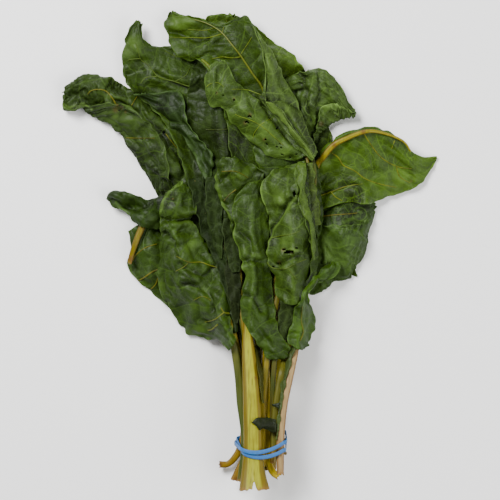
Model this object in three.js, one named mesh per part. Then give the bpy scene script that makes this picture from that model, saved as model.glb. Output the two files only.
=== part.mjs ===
// Rainbow chard bunch, lying down: leaves, stalks and the rubber band round them.
// Millimetres, +Z up. +Y runs from the cut stalk ends to the leaf tips, the floor is Z = 0.
//
// Outlines are written on a plan sheet ruled in small squares, seen from above: [x, y] counts
// squares to the right and squares down, and a third number is a height in millimetres.
// Leaves and stalks are laid one on another in the order of LAYING, from the floor up.
import * as THREE from 'three';

// ---- driving dimensions -------------------------------------------------------------------
const SQUARE = 0.9;               // one square of the plan sheet
const SHEET_CENTRE = [249.97, 249.96];  // the place on the sheet that lies over the origin
const BLADE_THICKNESS = 0.8;
const LAYER_GAP = 0.6;            // air between a piece and what it lies on
const SETTLING = 4;               // how far a blade sinks out of its own shape onto the pile
const FLAP_GAP = 2.4;             // height of a folded-over margin above its own blade
const LEAST_FLAP_SHARE = 0.6;     // of that height, where the margin is at its narrowest
const FLAP_OPENING = 0.3;         // height gained for each millimetre that it is wider
const BLADE_STEPS_ACROSS = 5;
const FULLNESS = 1.35;            // stretches the heights written for the blades
const STALK_SIDES = 8;
const STALK_STEPS_PER_POINT = 1.4;
const THINNEST_STALK = 1;
const RING_PROBE = 0.3;           // share of a step looked ahead and back for a ring's direction
const BAND_WIDTH = 3.6;
const BAND_THICKNESS = 1.2;
const BAND_HALF_SPREAD = 2.6;     // half the distance between the band's two strands
const BAND_HALF_STACK = 1.2;      // half the lift where one strand crosses the other
const BAND_MIDDLE = [262, 445];   // the band's middle on the sheet, half way up the stalks
const BAND_HALF_WAY = 24;         // height of that middle
const BAND_SLOPE = 0.09;          // the band climbs to the right
const BAND_TILT = 0.34;           // its top lies nearer to the feet than its underside
const BAND_LIES = { from: [232, 428], to: [292, 446] };  // the floor that it covers
const BAND_CLEARANCE = 0.6;
const BAND_CROSSING = 0.93;       // where the strands cross, as a share of the way round
const BAND_STEPS = 96;
const BAND_REACH = 4.8;           // how far up and down the stalks the band looks for its shape

// ---- colours ------------------------------------------------------------------------------
const GREENS = { dark: 0x33451d, deep: 0x3d5222, mid: 0x4b652b, lit: 0x5a7532, pale: 0x687f45 };
const STALKS = { cream: 0xb9ad5a, yellow: 0xa8871a, olive: 0x7f7834, pink: 0xb79f80,
  tan: 0x8f7440, green: 0x5f6d33 };
const BAND_BLUE = 0x5c93b4;
const BLADE_ROUGHNESS = 0.6;
const STALK_ROUGHNESS = 0.45;
const BAND_ROUGHNESS = 0.7;

// ---- leaves -------------------------------------------------------------------------------
// rows: from the stalk end of the blade to its tip, each a list of points from the left
// margin to the right one as one looks along the leaf. Where `flap` names a side, each row
// ends (right) or begins (left) with the free edge of the margin that is folded over.
// ridges: creases and swellings, as [height, half width, ...points along them].
const LEAVES = {
  back: {
    green: 'deep', steps: 15, crumple: 1.6,
    rows: [
      [[246, 282, 0], [262, 282, 2], [279, 282, 0]],
      [[222, 225, 1], [260, 224, 5], [302, 228, 1]],
      [[206, 165, 2], [256, 165, 8], [324, 170, 2]],
      [[200, 110, 2], [252, 112, 10], [332, 138, 3]],
      [[198, 70, 3], [248, 78, 12], [310, 88, 6]],
      [[200, 42, 4], [240, 48, 12], [300, 63, 14]],
      [[204, 27, 6], [234, 32, 10], [272, 41, 7]],
      [[206, 18, 9], [224, 17, 9], [245, 20, 7]],
      [[212, 15.5, 9], [222, 14, 9], [234, 15.5, 8]],
    ],
    ridges: [[6, 5, [282, 68], [296, 66], [307, 71]], [3, 5, [262, 50], [280, 58], [296, 68]],
      [-3, 4, [215, 22], [238, 26]]],
    stalk: { tint: 'olive', path: [[254, 471], [254, 440], [255, 400], [258, 350], [260, 300],
      [258, 235], [254, 165], [250, 110], [243, 60], [232, 32]],
      widths: [7.4, 7.4, 7.4, 7, 6.4, 5.5, 4, 3, 2, 1.4], depth: 0.7 },
  },
  crumpled: {
    green: 'mid', steps: 15, crumple: 1.8, flap: 'right',
    rows: [
      [[288, 190, 0], [293, 192, 2], [298, 194, 0], [297, 193.8, 0]],
      [[284, 150, 0], [297, 152, 5], [310, 156, 1], [308, 155.5, 0]],
      [[282, 112, 1], [300, 120, 8], [318, 134, 2], [315, 131, 0]],
      [[283, 84, 2], [303, 99, 12], [327, 126, 4], [320, 112, 1]],
      [[300, 72, 6], [318, 92, 14], [334, 121.5, 6], [326, 106, 2]],
      [[320, 71, 8], [331, 92, 15], [341, 118.5, 8], [334, 105, 2]],
      [[336, 80, 10], [339, 99, 13], [348, 116.5, 9], [342, 107, 1]],
      [[347, 103, 10], [350, 109, 11], [353, 115.8, 9], [350, 111, 1]],
      [[354, 110, 9], [355, 112.5, 9], [355.4, 115.3, 9], [355, 113, 0]],
    ],
    ridges: [[7, 7, [291, 80], [298, 87]], [6, 4, [307, 82], [309, 104], [306, 128]],
      [-5, 4, [301, 92], [300, 112]], [5, 4, [319, 78], [314, 104], [318, 122]],
      [-4, 4, [313, 90], [312, 118]], [3, 5, [330, 76], [332, 96]]],
    stalk: { tint: 'yellow', path: [[263, 468], [263, 455], [263, 434], [265, 400], [274, 350],
      [284, 300], [292, 240], [295, 190], [300, 145], [312, 112], [330, 98]],
      widths: [6, 6, 6.5, 6.5, 6, 5.5, 5, 4, 3, 2, 1.4], depth: 0.7 },
  },
  shoulder: {
    green: 'dark', steps: 15, crumple: 2.2, flap: 'right',
    rows: [
      [[284, 212, 0], [287, 250, 3], [290, 287, 0], [290, 285, 0]],
      [[300, 205, 2], [305, 248, 8], [310, 293, 1], [308, 250, 1]],
      [[315, 200, 5], [321, 243, 12], [327, 287, 2], [318, 228, 2]],
      [[328, 196, 8], [331, 238, 15], [333, 280, 3], [327, 225, 3]],
      [[340, 194, 8], [344, 235, 16], [348, 278, 3], [337, 226, 3]],
      [[352, 194, 7], [353, 230, 15], [354, 268, 4], [347, 225, 3]],
      [[363, 195, 5], [363, 226, 12], [363, 256, 3], [356, 224, 3]],
      [[371, 198, 3], [369, 218, 8], [366.5, 240, 2], [363, 222, 2]],
      [[376, 204, 1], [375, 208, 3], [373, 214, 1], [374, 209, 0]],
    ],
    ridges: [[3, 4, [322, 216], [348, 213], [360, 213]], [-3, 4, [318, 263], [352, 266]],
      [3, 5, [325, 240], [345, 250], [360, 240]], [3, 5, [322, 255], [340, 262]]],
    stalk: { tint: 'olive', path: [[283.2, 454.5], [280, 444], [280, 405], [284, 360], [290, 315],
      [300, 270], [318, 245], [340, 225], [358, 216]],
      widths: [7.4, 7.4, 7.4, 7, 6, 5, 4, 2.6, 1.4], depth: 0.7 },
  },
  corner: {
    green: 'lit', steps: 20, crumple: 1.5,
    rows: [
      [[298, 200, 1], [299, 206, 1], [301, 214, 1], [303, 222, 0]],
      [[312, 166, 10], [316, 170, 12], [319, 190, 7], [321, 211, 3]],
      [[324, 148, 15], [328, 153, 18], [334, 178, 11], [338, 204, 6]],
      [[338, 137.5, 18], [342, 142, 21], [350, 172, 14], [353, 202, 7]],
      [[352, 132, 19], [355, 137, 22], [364, 168, 16], [367, 205, 7]],
      [[365, 127, 19], [367, 133, 22], [376, 165, 16], [381, 199, 7]],
      [[384, 131, 17], [385, 135, 20], [391, 163, 15], [397, 194.5, 7]],
      [[402, 140.5, 14], [401, 144, 17], [405, 165, 13], [413, 188.5, 7]],
      [[411.5, 152, 11], [411, 155, 13], [416, 168, 11], [424, 181, 7]],
      [[423, 157.5, 8], [424, 162, 9], [427, 166, 9], [430, 170, 7]],
      [[436.5, 156, 5], [437, 157, 5], [437, 158.5, 5], [436.5, 160, 5]],
    ],
    ridges: [[3, 4, [338, 187], [350, 184], [361, 185]], [-2.5, 4, [337, 147], [354, 151]],
      [3, 4, [367, 172]], [2.5, 4, [401, 155], [412, 165], [416, 181]],
      [-2, 4, [345, 196], [360, 192]], [2, 5, [340, 170], [332, 186]],
      [-2, 5, [372, 150], [392, 172]]],
    stalk: { tint: 'yellow', path: [[272, 468], [272, 440], [274, 400], [281, 350],
      [290, 300], [298, 250], [306, 205], [316, 167.5], [323, 157.5], [333.5, 145.5],
      [348, 138], [362, 132.8], [373, 131.8], [386, 134.6], [398, 139.2], [405, 144], [410, 152]],
      widths: [7.4, 7.4, 7.4, 7.2, 7, 6.6, 6.2, 5.6, 5.4, 5, 4.4, 4, 3.2, 2.6, 2.2, 1.8, 1.4], depth: 0.8 },
  },
  farLeft: {
    green: 'mid', steps: 22, crumple: 2.2, flap: 'left',
    rows: [
      [[235, 344, 0], [234, 345, 0], [238, 340, 2], [242, 335, 0]],
      [[211, 279, 0], [210, 280, 0], [220, 270, 4], [232, 256, 1]],
      [[184, 226, 0], [180, 228, 1], [196, 215, 7], [215, 200, 2]],
      [[170, 176, 2], [157, 190, 2], [176, 172, 10], [198, 155, 4]],
      [[165, 146, 3], [142, 165, 3], [161, 143, 12], [181, 120, 5]],
      [[150, 124, 4], [128, 143, 5], [146, 122, 13], [161, 102, 6]],
      [[133, 108, 4], [116, 128, 6], [131, 108, 14], [142, 92, 8]],
      [[115, 103.5, 4], [104, 119, 7], [116, 100, 14], [126, 87, 9]],
      [[94, 106, 3], [90, 115, 8], [101, 95, 14], [112, 78.5, 10]],
      [[83, 106.5, 1], [81.5, 107.5, 9], [89, 90, 14], [97, 75, 11]],
      [[73, 110, 0], [72.5, 111, 9], [77, 92, 13], [83, 74.5, 11]],
      [[64, 105.5, 0], [63.4, 106, 8], [66, 97, 11], [67, 86, 9]],
      [[65, 97, 0], [64.6, 97, 8], [64.2, 94, 8], [63.6, 91, 8]],
    ],
    ridges: [[4, 4, [95, 91], [107, 93], [115, 103]], [-5, 4, [70, 99], [77, 95], [84, 100], [90, 104]],
      [4, 4, [78, 84], [92, 82], [104, 83]], [-4, 4, [88, 78], [100, 86], [112, 90]],
      [4, 4, [118, 95], [134, 100], [146, 108]], [-4, 4, [120, 90], [132, 95]],
      [4, 5, [146, 104], [158, 118], [164, 130]], [-3, 5, [156, 112], [164, 124]],
      [3, 5, [130, 142], [155, 150], [170, 165]], [-4, 4, [128, 139], [156, 138]],
      [3, 5, [160, 165], [178, 175]]],
    stalk: { tint: 'yellow', path: [[219.5, 464], [228, 463.6], [235, 457], [240.6, 447],
      [244, 432], [245, 400], [242, 365], [234, 332], [216, 280], [194, 220], [174, 172],
      [155, 135], [131, 108], [112, 99], [95, 91]],
      widths: [6, 5.4, 6, 6.5, 6.5, 6.5, 6, 5.5, 5, 4.5, 4, 3.2, 2.4, 1.8, 1.4], depth: 0.7 },
  },
  lowLeft: {
    green: 'mid', steps: 15, crumple: 1.8,
    rows: [
      [[214, 334, 0], [219, 326, 1], [223, 318, 0]],
      [[184, 318, 1], [194, 302, 4], [205, 285, 1]],
      [[160, 300, 2], [177, 277, 7], [195, 255, 2]],
      [[146, 286, 3], [162, 264, 9], [180, 242, 3]],
      [[134, 277.5, 3], [150, 253, 10], [170, 230, 5]],
      [[127.5, 264, 4], [143, 243, 10], [162, 223, 6]],
      [[131, 247, 5], [142, 234, 9], [153, 221, 7]],
      [[128, 231, 6], [135, 227, 8], [145, 220, 7]],
    ],
    ridges: [[3, 4, [157, 270], [138, 281]], [-3, 4, [130, 264], [152, 268]],
      [3, 5, [145, 250], [157, 244]]],
    stalk: { tint: 'yellow', path: [[234, 479.5], [239.5, 468], [246, 453], [248.5, 432],
      [249, 400], [246, 370], [236, 345], [216, 325], [192, 300], [168, 275], [150, 260]],
      widths: [6.5, 6.5, 6.5, 6.5, 6.5, 6, 5.5, 5, 4, 3, 2], depth: 0.7 },
  },
  leftTip: {
    green: 'deep', steps: 13, crumple: 1.6,
    rows: [
      [[190, 226, 1], [187, 212, 4], [184, 199, 2]],
      [[166, 227, 3], [164, 211, 9], [162, 196, 4]],
      [[153, 229, 4], [152, 213, 10], [151, 199, 6]],
      [[140, 225, 5], [140, 211, 9], [141, 197.5, 8]],
      [[130, 216, 6], [130, 205, 8], [131, 194, 9]],
      [[119, 209, 7], [120, 199, 10], [121, 190.2, 9]],
      [[112, 203.5, 6], [112, 198, 9], [113, 192.5, 8]],
      [[108, 200.5, 6], [108, 199, 6], [109, 197.5, 6]],
    ],
    ridges: [[-5, 4, [126, 205], [139, 206]], [3, 4, [124, 213], [136, 218]],
      [3, 4, [116, 195], [134, 198]]],
    stalk: { tint: 'yellow', path: [[129.5, 263.5], [133, 251], [138, 237], [143.5, 223],
      [143, 213], [136, 206], [126, 201], [115, 198]],
      widths: [4, 4.6, 5.4, 5.6, 4.6, 3, 2, 1.4], depth: 0.7 },
  },
  horn: {
    green: 'mid', steps: 20, crumple: 1.6,
    rows: [
      [[228, 328, 0], [236, 327, 1], [244, 326, 0]],
      [[206, 250, 1], [226, 246, 4], [246, 240, 1]],
      [[187, 180, 2], [214, 170, 7], [240, 163, 2]],
      [[166, 126, 3], [206, 112, 10], [240, 104, 3]],
      [[142, 99, 3], [181, 82, 11], [222, 68, 5]],
      [[128, 87, 4], [156, 72, 11], [188, 50, 8]],
      [[122.6, 68, 6], [146, 60, 11], [169, 47, 9]],
      [[124, 48, 9], [139, 50, 12], [154, 46, 10]],
      [[128, 36, 12], [136, 40, 14], [144.5, 40.5, 12]],
      [[132.5, 26.5, 13], [137, 30, 14], [142, 33, 13]],
      [[137, 22, 12], [139.5, 21.8, 12], [143, 24.6, 12]],
    ],
    ridges: [[2.5, 3, [139, 53], [149, 66], [156, 75], [175, 82], [198, 89]],
      [4, 8, [172, 66], [184, 76]], [-3, 5, [142, 60], [130, 70]], [3, 6, [134, 50], [130, 66]],
      [-3, 5, [165, 58], [180, 62]], [-2.5, 4, [145, 82], [160, 86]]],
    stalk: { tint: 'olive', path: [[257.5, 474], [257.5, 440], [255.5, 400], [249, 365], [241, 325],
      [232, 250], [218, 172], [208, 112], [198, 89], [175, 82], [156, 75], [148, 65], [139, 50]],
      widths: [7, 7, 7, 6.6, 6, 5, 4, 3, 2.6, 2.2, 1.8, 1.5, 1.2], depth: 0.7 },
  },
  middle: {
    green: 'dark', steps: 14, crumple: 1.8,
    rows: [
      [[229, 334, 0], [236, 332, 1], [244, 330, 0]],
      [[214, 262, 1], [231, 256, 4], [248, 250, 1]],
      [[200, 200, 2], [227, 195, 6], [254, 190, 2]],
      [[190, 150, 2], [222, 145, 8], [256, 140, 3]],
      [[187, 110, 3], [218, 105, 9], [250, 100, 4]],
      [[190, 80, 3], [212, 75, 9], [236, 68, 4]],
      [[194, 62, 3], [205, 60, 6], [220, 52, 3]],
      [[197, 50, 2], [201, 49, 3], [207, 47, 2]],
    ],
    ridges: [[3, 4, [207, 130], [222, 130], [234, 131]], [-3, 4, [208, 142], [222, 150], [236, 160]],
      [3, 5, [205, 112], [214, 126]], [3, 5, [220, 138], [234, 148]]],
    stalk: { tint: 'olive', path: [[251.5, 468], [251.5, 440], [250, 410], [246, 385],
      [241, 362], [235, 336], [230.5, 312], [229, 290], [229, 240], [227, 190], [222, 140],
      [218, 103], [212, 69.5], [202, 60.5], [199, 54]],
      widths: [5, 5, 5, 4.8, 4.8, 4.8, 4.6, 4.4, 4.2, 4, 3.8, 3.4, 3, 2.6, 1.6], depth: 0.7 },
  },
  darkFold: {
    green: 'dark', steps: 16, crumple: 1.8,
    rows: [
      [[203.5, 177, 1], [207.5, 180, 2], [211.5, 177, 3]],
      [[199, 165, 1], [206, 167, 4], [213.6, 167, 5]],
      [[192, 151, 1], [202, 153, 5], [213, 155, 6]],
      [[184, 139, 1], [193, 141, 6], [203, 143, 7]],
      [[174, 129, 1], [183, 127, 6], [193, 130, 8]],
      [[167, 120, 1], [176, 115, 6], [187, 119, 8]],
      [[158, 111, 1], [169, 104, 6], [184.5, 102, 8]],
      [[148, 103, 1], [161, 98, 5], [180, 91.4, 7]],
      [[139, 97, 1], [150, 95.6, 4], [163, 92, 5]],
      [[134, 94.6, 1], [139, 94.8, 2], [147, 94, 3]],
    ],
    ridges: [[-3, 4, [170, 106], [182, 122], [196, 142], [205, 165]],
      [3, 3, [208, 150], [211, 165]], [2, 4, [160, 104], [172, 112]]],
    stalk: { tint: 'green', path: [[249, 466], [249, 430], [249, 385], [244, 335], [228, 262],
      [214, 212], [207, 182], [200, 154], [184, 128], [170, 108], [155, 98]],
      widths: [4, 4, 4, 4, 3.6, 3.2, 3, 2.6, 2, 1.6, 1.2], depth: 0.7 },
  },
  leftFront: {
    green: 'mid', steps: 24, crumple: 2,
    rows: [
      [[230, 350, 0], [233, 345, 1], [236, 339, 0]],
      [[219, 340, 1], [225, 331, 4], [230, 318, 1]],
      [[203, 339, 2], [214, 322, 8], [229.5, 304, 2]],
      [[187, 331.5, 2], [202, 309, 11], [226, 288, 3]],
      [[177.5, 320, 3], [192, 293, 13], [223, 272, 4]],
      [[170, 306, 4], [183, 280, 14], [215, 259, 5]],
      [[160, 292, 4], [177, 266, 14], [209, 246, 5]],
      [[157.5, 276, 5], [173, 252, 14], [203, 237, 6]],
      [[160, 258, 6], [172, 240, 13], [197, 228, 7]],
      [[161.5, 240, 6], [174, 228, 11], [192, 220, 7]],
      [[161, 228, 7], [177, 219, 9], [195, 217, 8]],
      [[159.5, 213, 8], [177, 210, 12], [196, 208, 8]],
      [[164, 197, 8], [178, 196, 13], [192.5, 196, 8]],
      [[175, 187, 8], [181, 185.5, 11], [187, 187, 8]],
      [[181, 182.6, 8], [182.2, 182, 9], [184, 182.6, 8]],
    ],
    ridges: [[-5, 3.2, [161, 220], [179, 217.5], [197, 218]], [3, 3.5, [163, 214], [180, 212], [195, 213]],
      [-4, 4, [190, 288], [202, 280], [216, 272]], [3, 4, [176, 257], [189, 262], [209, 265], [222, 272]],
      [3, 5, [205, 284], [215, 292], [222, 304]], [-4, 4, [196, 296], [206, 306], [212, 318]],
      [3, 5, [200, 300], [206, 310]], [-4, 4, [180, 308], [196, 318], [214, 326]],
      [3, 4, [170, 240], [180, 238]], [-3, 4, [166, 250], [184, 250]],
      [3, 4, [190, 322], [205, 328], [218, 326]]],
    stalk: { tint: 'green', path: [[240.5, 480], [244.5, 452], [244.5, 430], [241, 402],
      [239, 376], [235.5, 353], [232, 340], [222, 316], [205, 290], [186, 264], [176, 240],
      [176, 215], [180, 196]],
      widths: [6, 7, 7, 7.5, 7.5, 7, 6, 5, 4, 3, 2.4, 2, 1.4], depth: 0.75 },
  },
  crown: {
    green: 'lit', steps: 24, crumple: 1.6,
    rows: [
      [[252, 330, 0], [262, 330, 1], [270, 330, 0]],
      [[243, 240, 1], [265, 236, 4], [286, 230, 1]],
      [[232, 160, 2], [268, 158, 7], [292, 152, 2]],
      [[224, 114, 3], [262, 94, 11], [278, 92, 7]],
      [[214, 87, 3], [252, 74, 13], [272, 62, 9]],
      [[205, 68, 4], [241, 57, 14], [263, 42, 11]],
      [[198, 61.5, 5], [232, 46, 14], [253, 25, 11]],
      [[189, 62.4, 5], [226, 38.5, 13], [244.5, 15.6, 11]],
      [[180, 59, 6], [221, 33, 13], [233, 22, 12]],
      [[171.5, 47, 7], [214, 28, 12], [222, 26.5, 12]],
      [[168, 35.5, 8], [206, 25.5, 12], [207.5, 24, 12]],
      [[165, 25, 9], [190, 20.5, 12], [197, 18, 12]],
      [[168, 15, 9], [177, 15, 11], [183, 17, 11]],
      [[170.5, 12, 9], [172.5, 11.8, 9], [175, 13, 9]],
    ],
    ridges: [[-4, 4, [195, 40], [203, 50], [212, 56]], [3, 4, [213, 38], [230, 42]],
      [2, 3, [170, 38], [195, 40], [222, 38]], [3, 5, [222, 50], [232, 58]],
      [-3, 4, [214, 62], [236, 62]], [3, 3, [212, 58], [228, 56], [241, 58]],
      [-3, 4, [236, 76], [250, 88]], [3, 4, [236, 26], [246, 40]], [-3, 4, [252, 34], [262, 60]],
      [2, 4, [176, 22], [200, 28]]],
    stalk: { tint: 'olive', path: [[266.5, 469], [266.5, 440], [266, 400], [265, 350],
      [265, 300], [269, 240], [271, 180], [270, 125], [263, 91], [252, 74], [241, 57.5],
      [232, 46], [221, 33], [207, 24.4], [194, 20.5]],
      widths: [7, 7, 7, 6.5, 6, 5, 4.4, 3.6, 3, 2.6, 2.3, 2, 1.7, 1.4, 1.1], depth: 0.7 },
  },
  under: {
    green: 'mid', steps: 14, crumple: 1.6, flap: 'right',
    rows: [
      [[278, 262, 0], [294, 262, 2], [312, 258, 0], [311, 258, 0]],
      [[272, 236, 1], [294, 238, 4], [318, 236, 2], [316, 236, 1]],
      [[268, 218, 2], [294, 220, 6], [321.5, 221, 4], [315, 222, 1]],
      [[265, 204, 3], [293, 205, 7], [322, 206, 5], [313, 206, 1]],
      [[263, 190, 3], [290, 190, 8], [319.5, 191, 6], [311, 192, 1]],
      [[262, 176, 3], [288, 176, 8], [317, 176, 6], [308, 177, 1]],
      [[257, 164, 3], [285, 164, 7], [314, 164, 5], [306, 165, 1]],
      [[253, 152, 2], [280, 153, 5], [310, 157, 3], [306, 158, 0]],
      [[254, 143, 1], [270, 142, 3], [290, 146, 1], [288, 147, 0]],
    ],
    ridges: [[3, 3, [255, 160], [266, 178]]],
    stalk: { tint: 'yellow', path: [[278.5, 475], [272.5, 470.5], [268.5, 460],
      [267.2, 440], [267, 410], [266.5, 380], [265.5, 355], [268, 320], [276, 280], [290, 240],
      [294, 210], [288, 175], [280, 155]],
      widths: [6, 6.2, 6, 6, 6.2, 6, 5.6, 5, 4.4, 3.6, 3, 2.4, 1.6], depth: 0.95 },
  },
  pierced: {
    green: 'pale', steps: 20, crumple: 1.2,
    rows: [
      [[301, 157.5, 1], [307, 157, 2], [312, 157, 2]],
      [[286, 160.4, 2], [295, 152, 5], [304, 146, 4]],
      [[269, 156, 3], [282, 144, 7], [294, 133, 5]],
      [[252, 142.6, 3], [268, 131, 8], [284, 121, 6]],
      [[240, 132, 3], [256, 122, 9], [271, 113, 6]],
      [[229, 118.5, 4], [244, 111, 9], [260, 104, 6]],
      [[226.5, 111.5, 5], [239, 103, 9], [252, 96, 7]],
      [[218, 107.5, 5], [230, 96, 10], [243, 88, 7]],
      [[208, 105, 6], [220, 90, 11], [234.5, 80, 8]],
      [[206, 88, 7], [217, 79, 12], [230, 70, 8]],
      [[207.5, 73, 7], [215, 68, 11], [225.5, 62.6, 8]],
      [[215.5, 65.4, 7], [219, 63, 8], [222, 61, 8]],
    ],
    ridges: [[3, 4, [224, 64], [232, 78], [233, 90]], [-2.5, 3, [220, 70], [222, 84]],
      [2, 4, [211, 92], [224, 92]], [1.5, 4, [260, 126], [272, 119]],
      [-2, 4, [228, 111], [236, 104]]],
    stalk: { tint: 'green', path: [[262, 466], [262, 440], [263, 400], [268, 350], [277, 300],
      [292, 250], [303, 205], [308, 170], [302, 152], [282, 144], [264, 128], [244, 111],
      [230, 94]],
      widths: [6, 6, 6, 5.6, 5, 4.4, 3.8, 3, 2.4, 2, 1.6, 1.4, 1.2], depth: 0.7 },
  },
  paleFlap: {
    green: 'pale', steps: 20, crumple: 1.2, flap: 'left',
    rows: [
      [[314.4, 157, 0], [313, 160, 2], [315, 157, 3], [317, 153, 2]],
      [[308, 148, 1], [304, 154, 4], [308, 147, 5], [312, 141, 3]],
      [[301, 137, 1], [296, 143, 5], [300, 135, 6], [306, 130, 3]],
      [[293, 128, 1], [287, 132, 6], [293, 124, 6], [302, 118, 3]],
      [[286, 118, 1], [279, 122, 6], [288, 113, 7], [298, 104, 3]],
      [[278, 108, 1], [271, 112, 7], [280, 101, 8], [291, 91, 4]],
      [[267, 104, 1], [262, 101, 8], [273, 90, 10], [284, 79, 5]],
      [[266, 85, 0], [265, 85, 9], [271, 75, 11], [278, 66, 7]],
      [[265.4, 66, 0], [265, 66, 10], [268, 60, 12], [272, 54, 9]],
      [[260.4, 44, 0], [260, 44, 12], [262, 43.5, 13], [264, 42.5, 12]],
      [[253.2, 28.4, 0], [253, 28.2, 12], [253.6, 28.1, 12], [254.2, 28, 12]],
    ],
    ridges: [[-2.5, 4, [268, 96], [282, 98]], [1.5, 4, [270, 70], [276, 84]],
      [2, 4, [296, 118], [304, 132]]],
    stalk: { tint: 'tan', path: [[272, 462], [272, 430], [272, 400], [273.5, 370],
      [277, 340], [284, 300], [296, 255], [308, 215], [315, 178], [309, 150], [296, 128],
      [284, 104], [274, 80], [267, 58]],
      widths: [4, 4, 4.4, 4.6, 4.6, 4.6, 4.2, 3.6, 3, 2.4, 2, 1.7, 1.4, 1.1], depth: 0.8 },
  },
  curl: {
    green: 'mid', steps: 14, crumple: 2,
    rows: [
      [[233, 238, 0], [241, 237, 1], [250, 236, 0]],
      [[229, 219, 2], [240, 214, 4], [257, 210, 2]],
      [[220.5, 203, 4], [236, 197, 7], [262, 192, 4]],
      [[216, 189, 5], [234, 182, 9], [264, 177, 6]],
      [[215.6, 175, 6], [232, 170, 10], [257, 167.6, 7]],
      [[218, 163.5, 6], [231, 161.5, 9], [245, 160.5, 7]],
      [[224, 158.8, 6], [230, 157.6, 7], [237, 158.6, 6]],
    ],
    ridges: [[5, 3, [217, 176], [218, 190], [224, 206], [232, 220]], [-5, 3, [221, 180], [232, 180]],
      [4, 4, [228, 172], [242, 174], [252, 184]], [-4, 3, [224, 188], [236, 186]],
      [4, 4, [222, 166], [234, 166]], [3, 3, [224, 200], [236, 190]], [-4, 3, [244, 166], [254, 176]]],
    stalk: { tint: 'yellow', path: [[257, 466], [257, 430], [253, 385], [246, 345], [241, 300],
      [240, 262], [240, 232], [237, 200], [233, 176]],
      widths: [4, 4, 4, 4, 4, 3.6, 3, 2, 1.4], depth: 0.7 },
  },
  centre: {
    green: 'mid', steps: 26, crumple: 1.4,
    rows: [
      [[274, 358, 1], [281, 358.5, 1], [288, 355.5, 1]],
      [[266, 354, 2], [275, 350, 4], [288, 345, 2]],
      [[254.5, 340, 4], [267, 335, 7], [279.5, 333, 3]],
      [[245, 323.5, 4], [260, 321, 8], [276, 319, 3]],
      [[240.5, 309, 4], [257, 306, 8], [274, 304, 3]],
      [[242, 291, 4], [256, 289, 8], [272, 288, 4]],
      [[244.6, 273, 4], [256, 271, 8], [270, 271, 4]],
      [[240, 257, 4], [253, 255, 8], [268, 255, 4]],
      [[235, 239, 5], [251, 238, 9], [268, 238, 4]],
      [[234, 223, 5], [251, 222, 9], [268.5, 221, 4]],
      [[233, 207, 5], [250, 205, 9], [267, 204, 4]],
      [[237.5, 195, 5], [251, 191, 8], [266, 188, 4]],
      [[246, 185, 4], [254, 182, 6], [263, 180, 3]],
    ],
    ridges: [[3, 4, [238, 206], [238, 240], [243, 262]], [-2.5, 4, [244, 214], [245, 244]],
      [2.5, 4, [262, 232], [262, 262]], [-2.5, 4, [268, 290], [274, 320], [279, 342]],
      [-2, 4, [248, 282], [252, 310]], [2, 4, [262, 300], [264, 326]],
      [-2, 4, [250, 252], [262, 268]], [2, 4, [256, 342], [270, 352]]],
    stalk: { tint: 'cream', path: [[254.2, 487.5], [253.4, 474], [253, 456], [253, 436],
      [252, 404], [250.8, 380], [249, 358], [247.6, 336], [249, 315], [252, 290], [252, 240],
      [251, 205]],
      widths: [27, 22, 18, 17, 16, 14.6, 12.4, 9.6, 7.6, 6, 4, 2], depth: 0.5 },
  },
  rightCentre: {
    green: 'lit', steps: 24, crumple: 1.4, flap: 'right',
    rows: [
      [[279, 300, 1], [291, 304.5, 2], [303, 302, 1], [302.4, 301, 0]],
      [[274, 290, 2], [290, 291, 5], [306.5, 289, 2], [305, 289, 1]],
      [[274, 276, 3], [292, 276, 8], [311.5, 277, 4], [308, 276, 1]],
      [[268, 262, 3], [291, 262, 9], [316.4, 264, 5], [311, 262, 1]],
      [[268, 246, 4], [291, 246, 10], [315.8, 247, 6], [310, 247, 1]],
      [[269, 230, 4], [291, 230, 10], [314, 230, 6], [307, 230, 1]],
      [[268, 214, 4], [289, 213, 9], [311.5, 213, 7], [301, 213, 1]],
      [[262, 200, 5], [284, 198, 10], [308.5, 198, 7], [297, 198, 1]],
      [[261, 186, 5], [282, 184, 11], [307, 184, 7], [295.6, 184, 1]],
      [[267, 176, 5], [284, 173, 9], [306.5, 171, 7], [294.4, 172, 1]],
      [[280, 168.4, 4], [291, 166, 5], [302, 162.6, 5], [297, 163.6, 0]],
    ],
    ridges: [[-4, 3, [268, 216], [280, 211], [296, 197]], [4, 4, [284, 203], [297, 192]],
      [3, 7, [276, 188], [284, 180]], [2.5, 4, [272, 222], [290, 222]],
      [1.5, 3, [280, 236], [299, 232]], [1.5, 3, [276, 269], [305, 259]],
      [-3, 3, [267, 263], [273, 268], [280, 264]], [3, 5, [282, 256], [300, 250]],
      [2.5, 5, [282, 284], [298, 288]], [-2.5, 4, [276, 280], [292, 276]]],
    stalk: { tint: 'olive', path: [[274, 452], [273.8, 430], [274.6, 416], [277, 398],
      [280.4, 378], [284.6, 360], [289.6, 338], [293, 310], [292, 270], [291, 235], [288, 200],
      [287, 178]],
      widths: [6, 6, 6, 6.6, 6.8, 6.6, 6, 5, 4, 3, 2, 1.4], depth: 0.7 },
  },
  lowRight: {
    green: 'lit', steps: 20, crumple: 1.5,
    rows: [
      [[294, 346, 3], [299.5, 349, 3], [305, 347.6, 3]],
      [[286.5, 339, 4], [298, 340, 7], [309.8, 341, 4]],
      [[288, 331.6, 5], [300, 331, 9], [312.5, 331, 4]],
      [[292.6, 322, 5], [303, 321, 9], [316, 320.6, 5]],
      [[293, 313, 5], [303, 311, 8], [314, 311, 5]],
      [[297, 304, 5], [302.6, 302, 7], [309, 302, 5]],
      [[301.6, 296, 6], [304.6, 295, 7], [307.8, 294, 6]],
      [[304, 288.6, 6], [308, 288, 8], [312, 288, 7]],
      [[309, 281.6, 6], [315, 281, 9], [321, 281, 7]],
      [[317, 274, 6], [325, 274, 9], [334, 276, 6]],
      [[321, 267.6, 5], [330, 267, 8], [338.6, 265, 5]],
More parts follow.
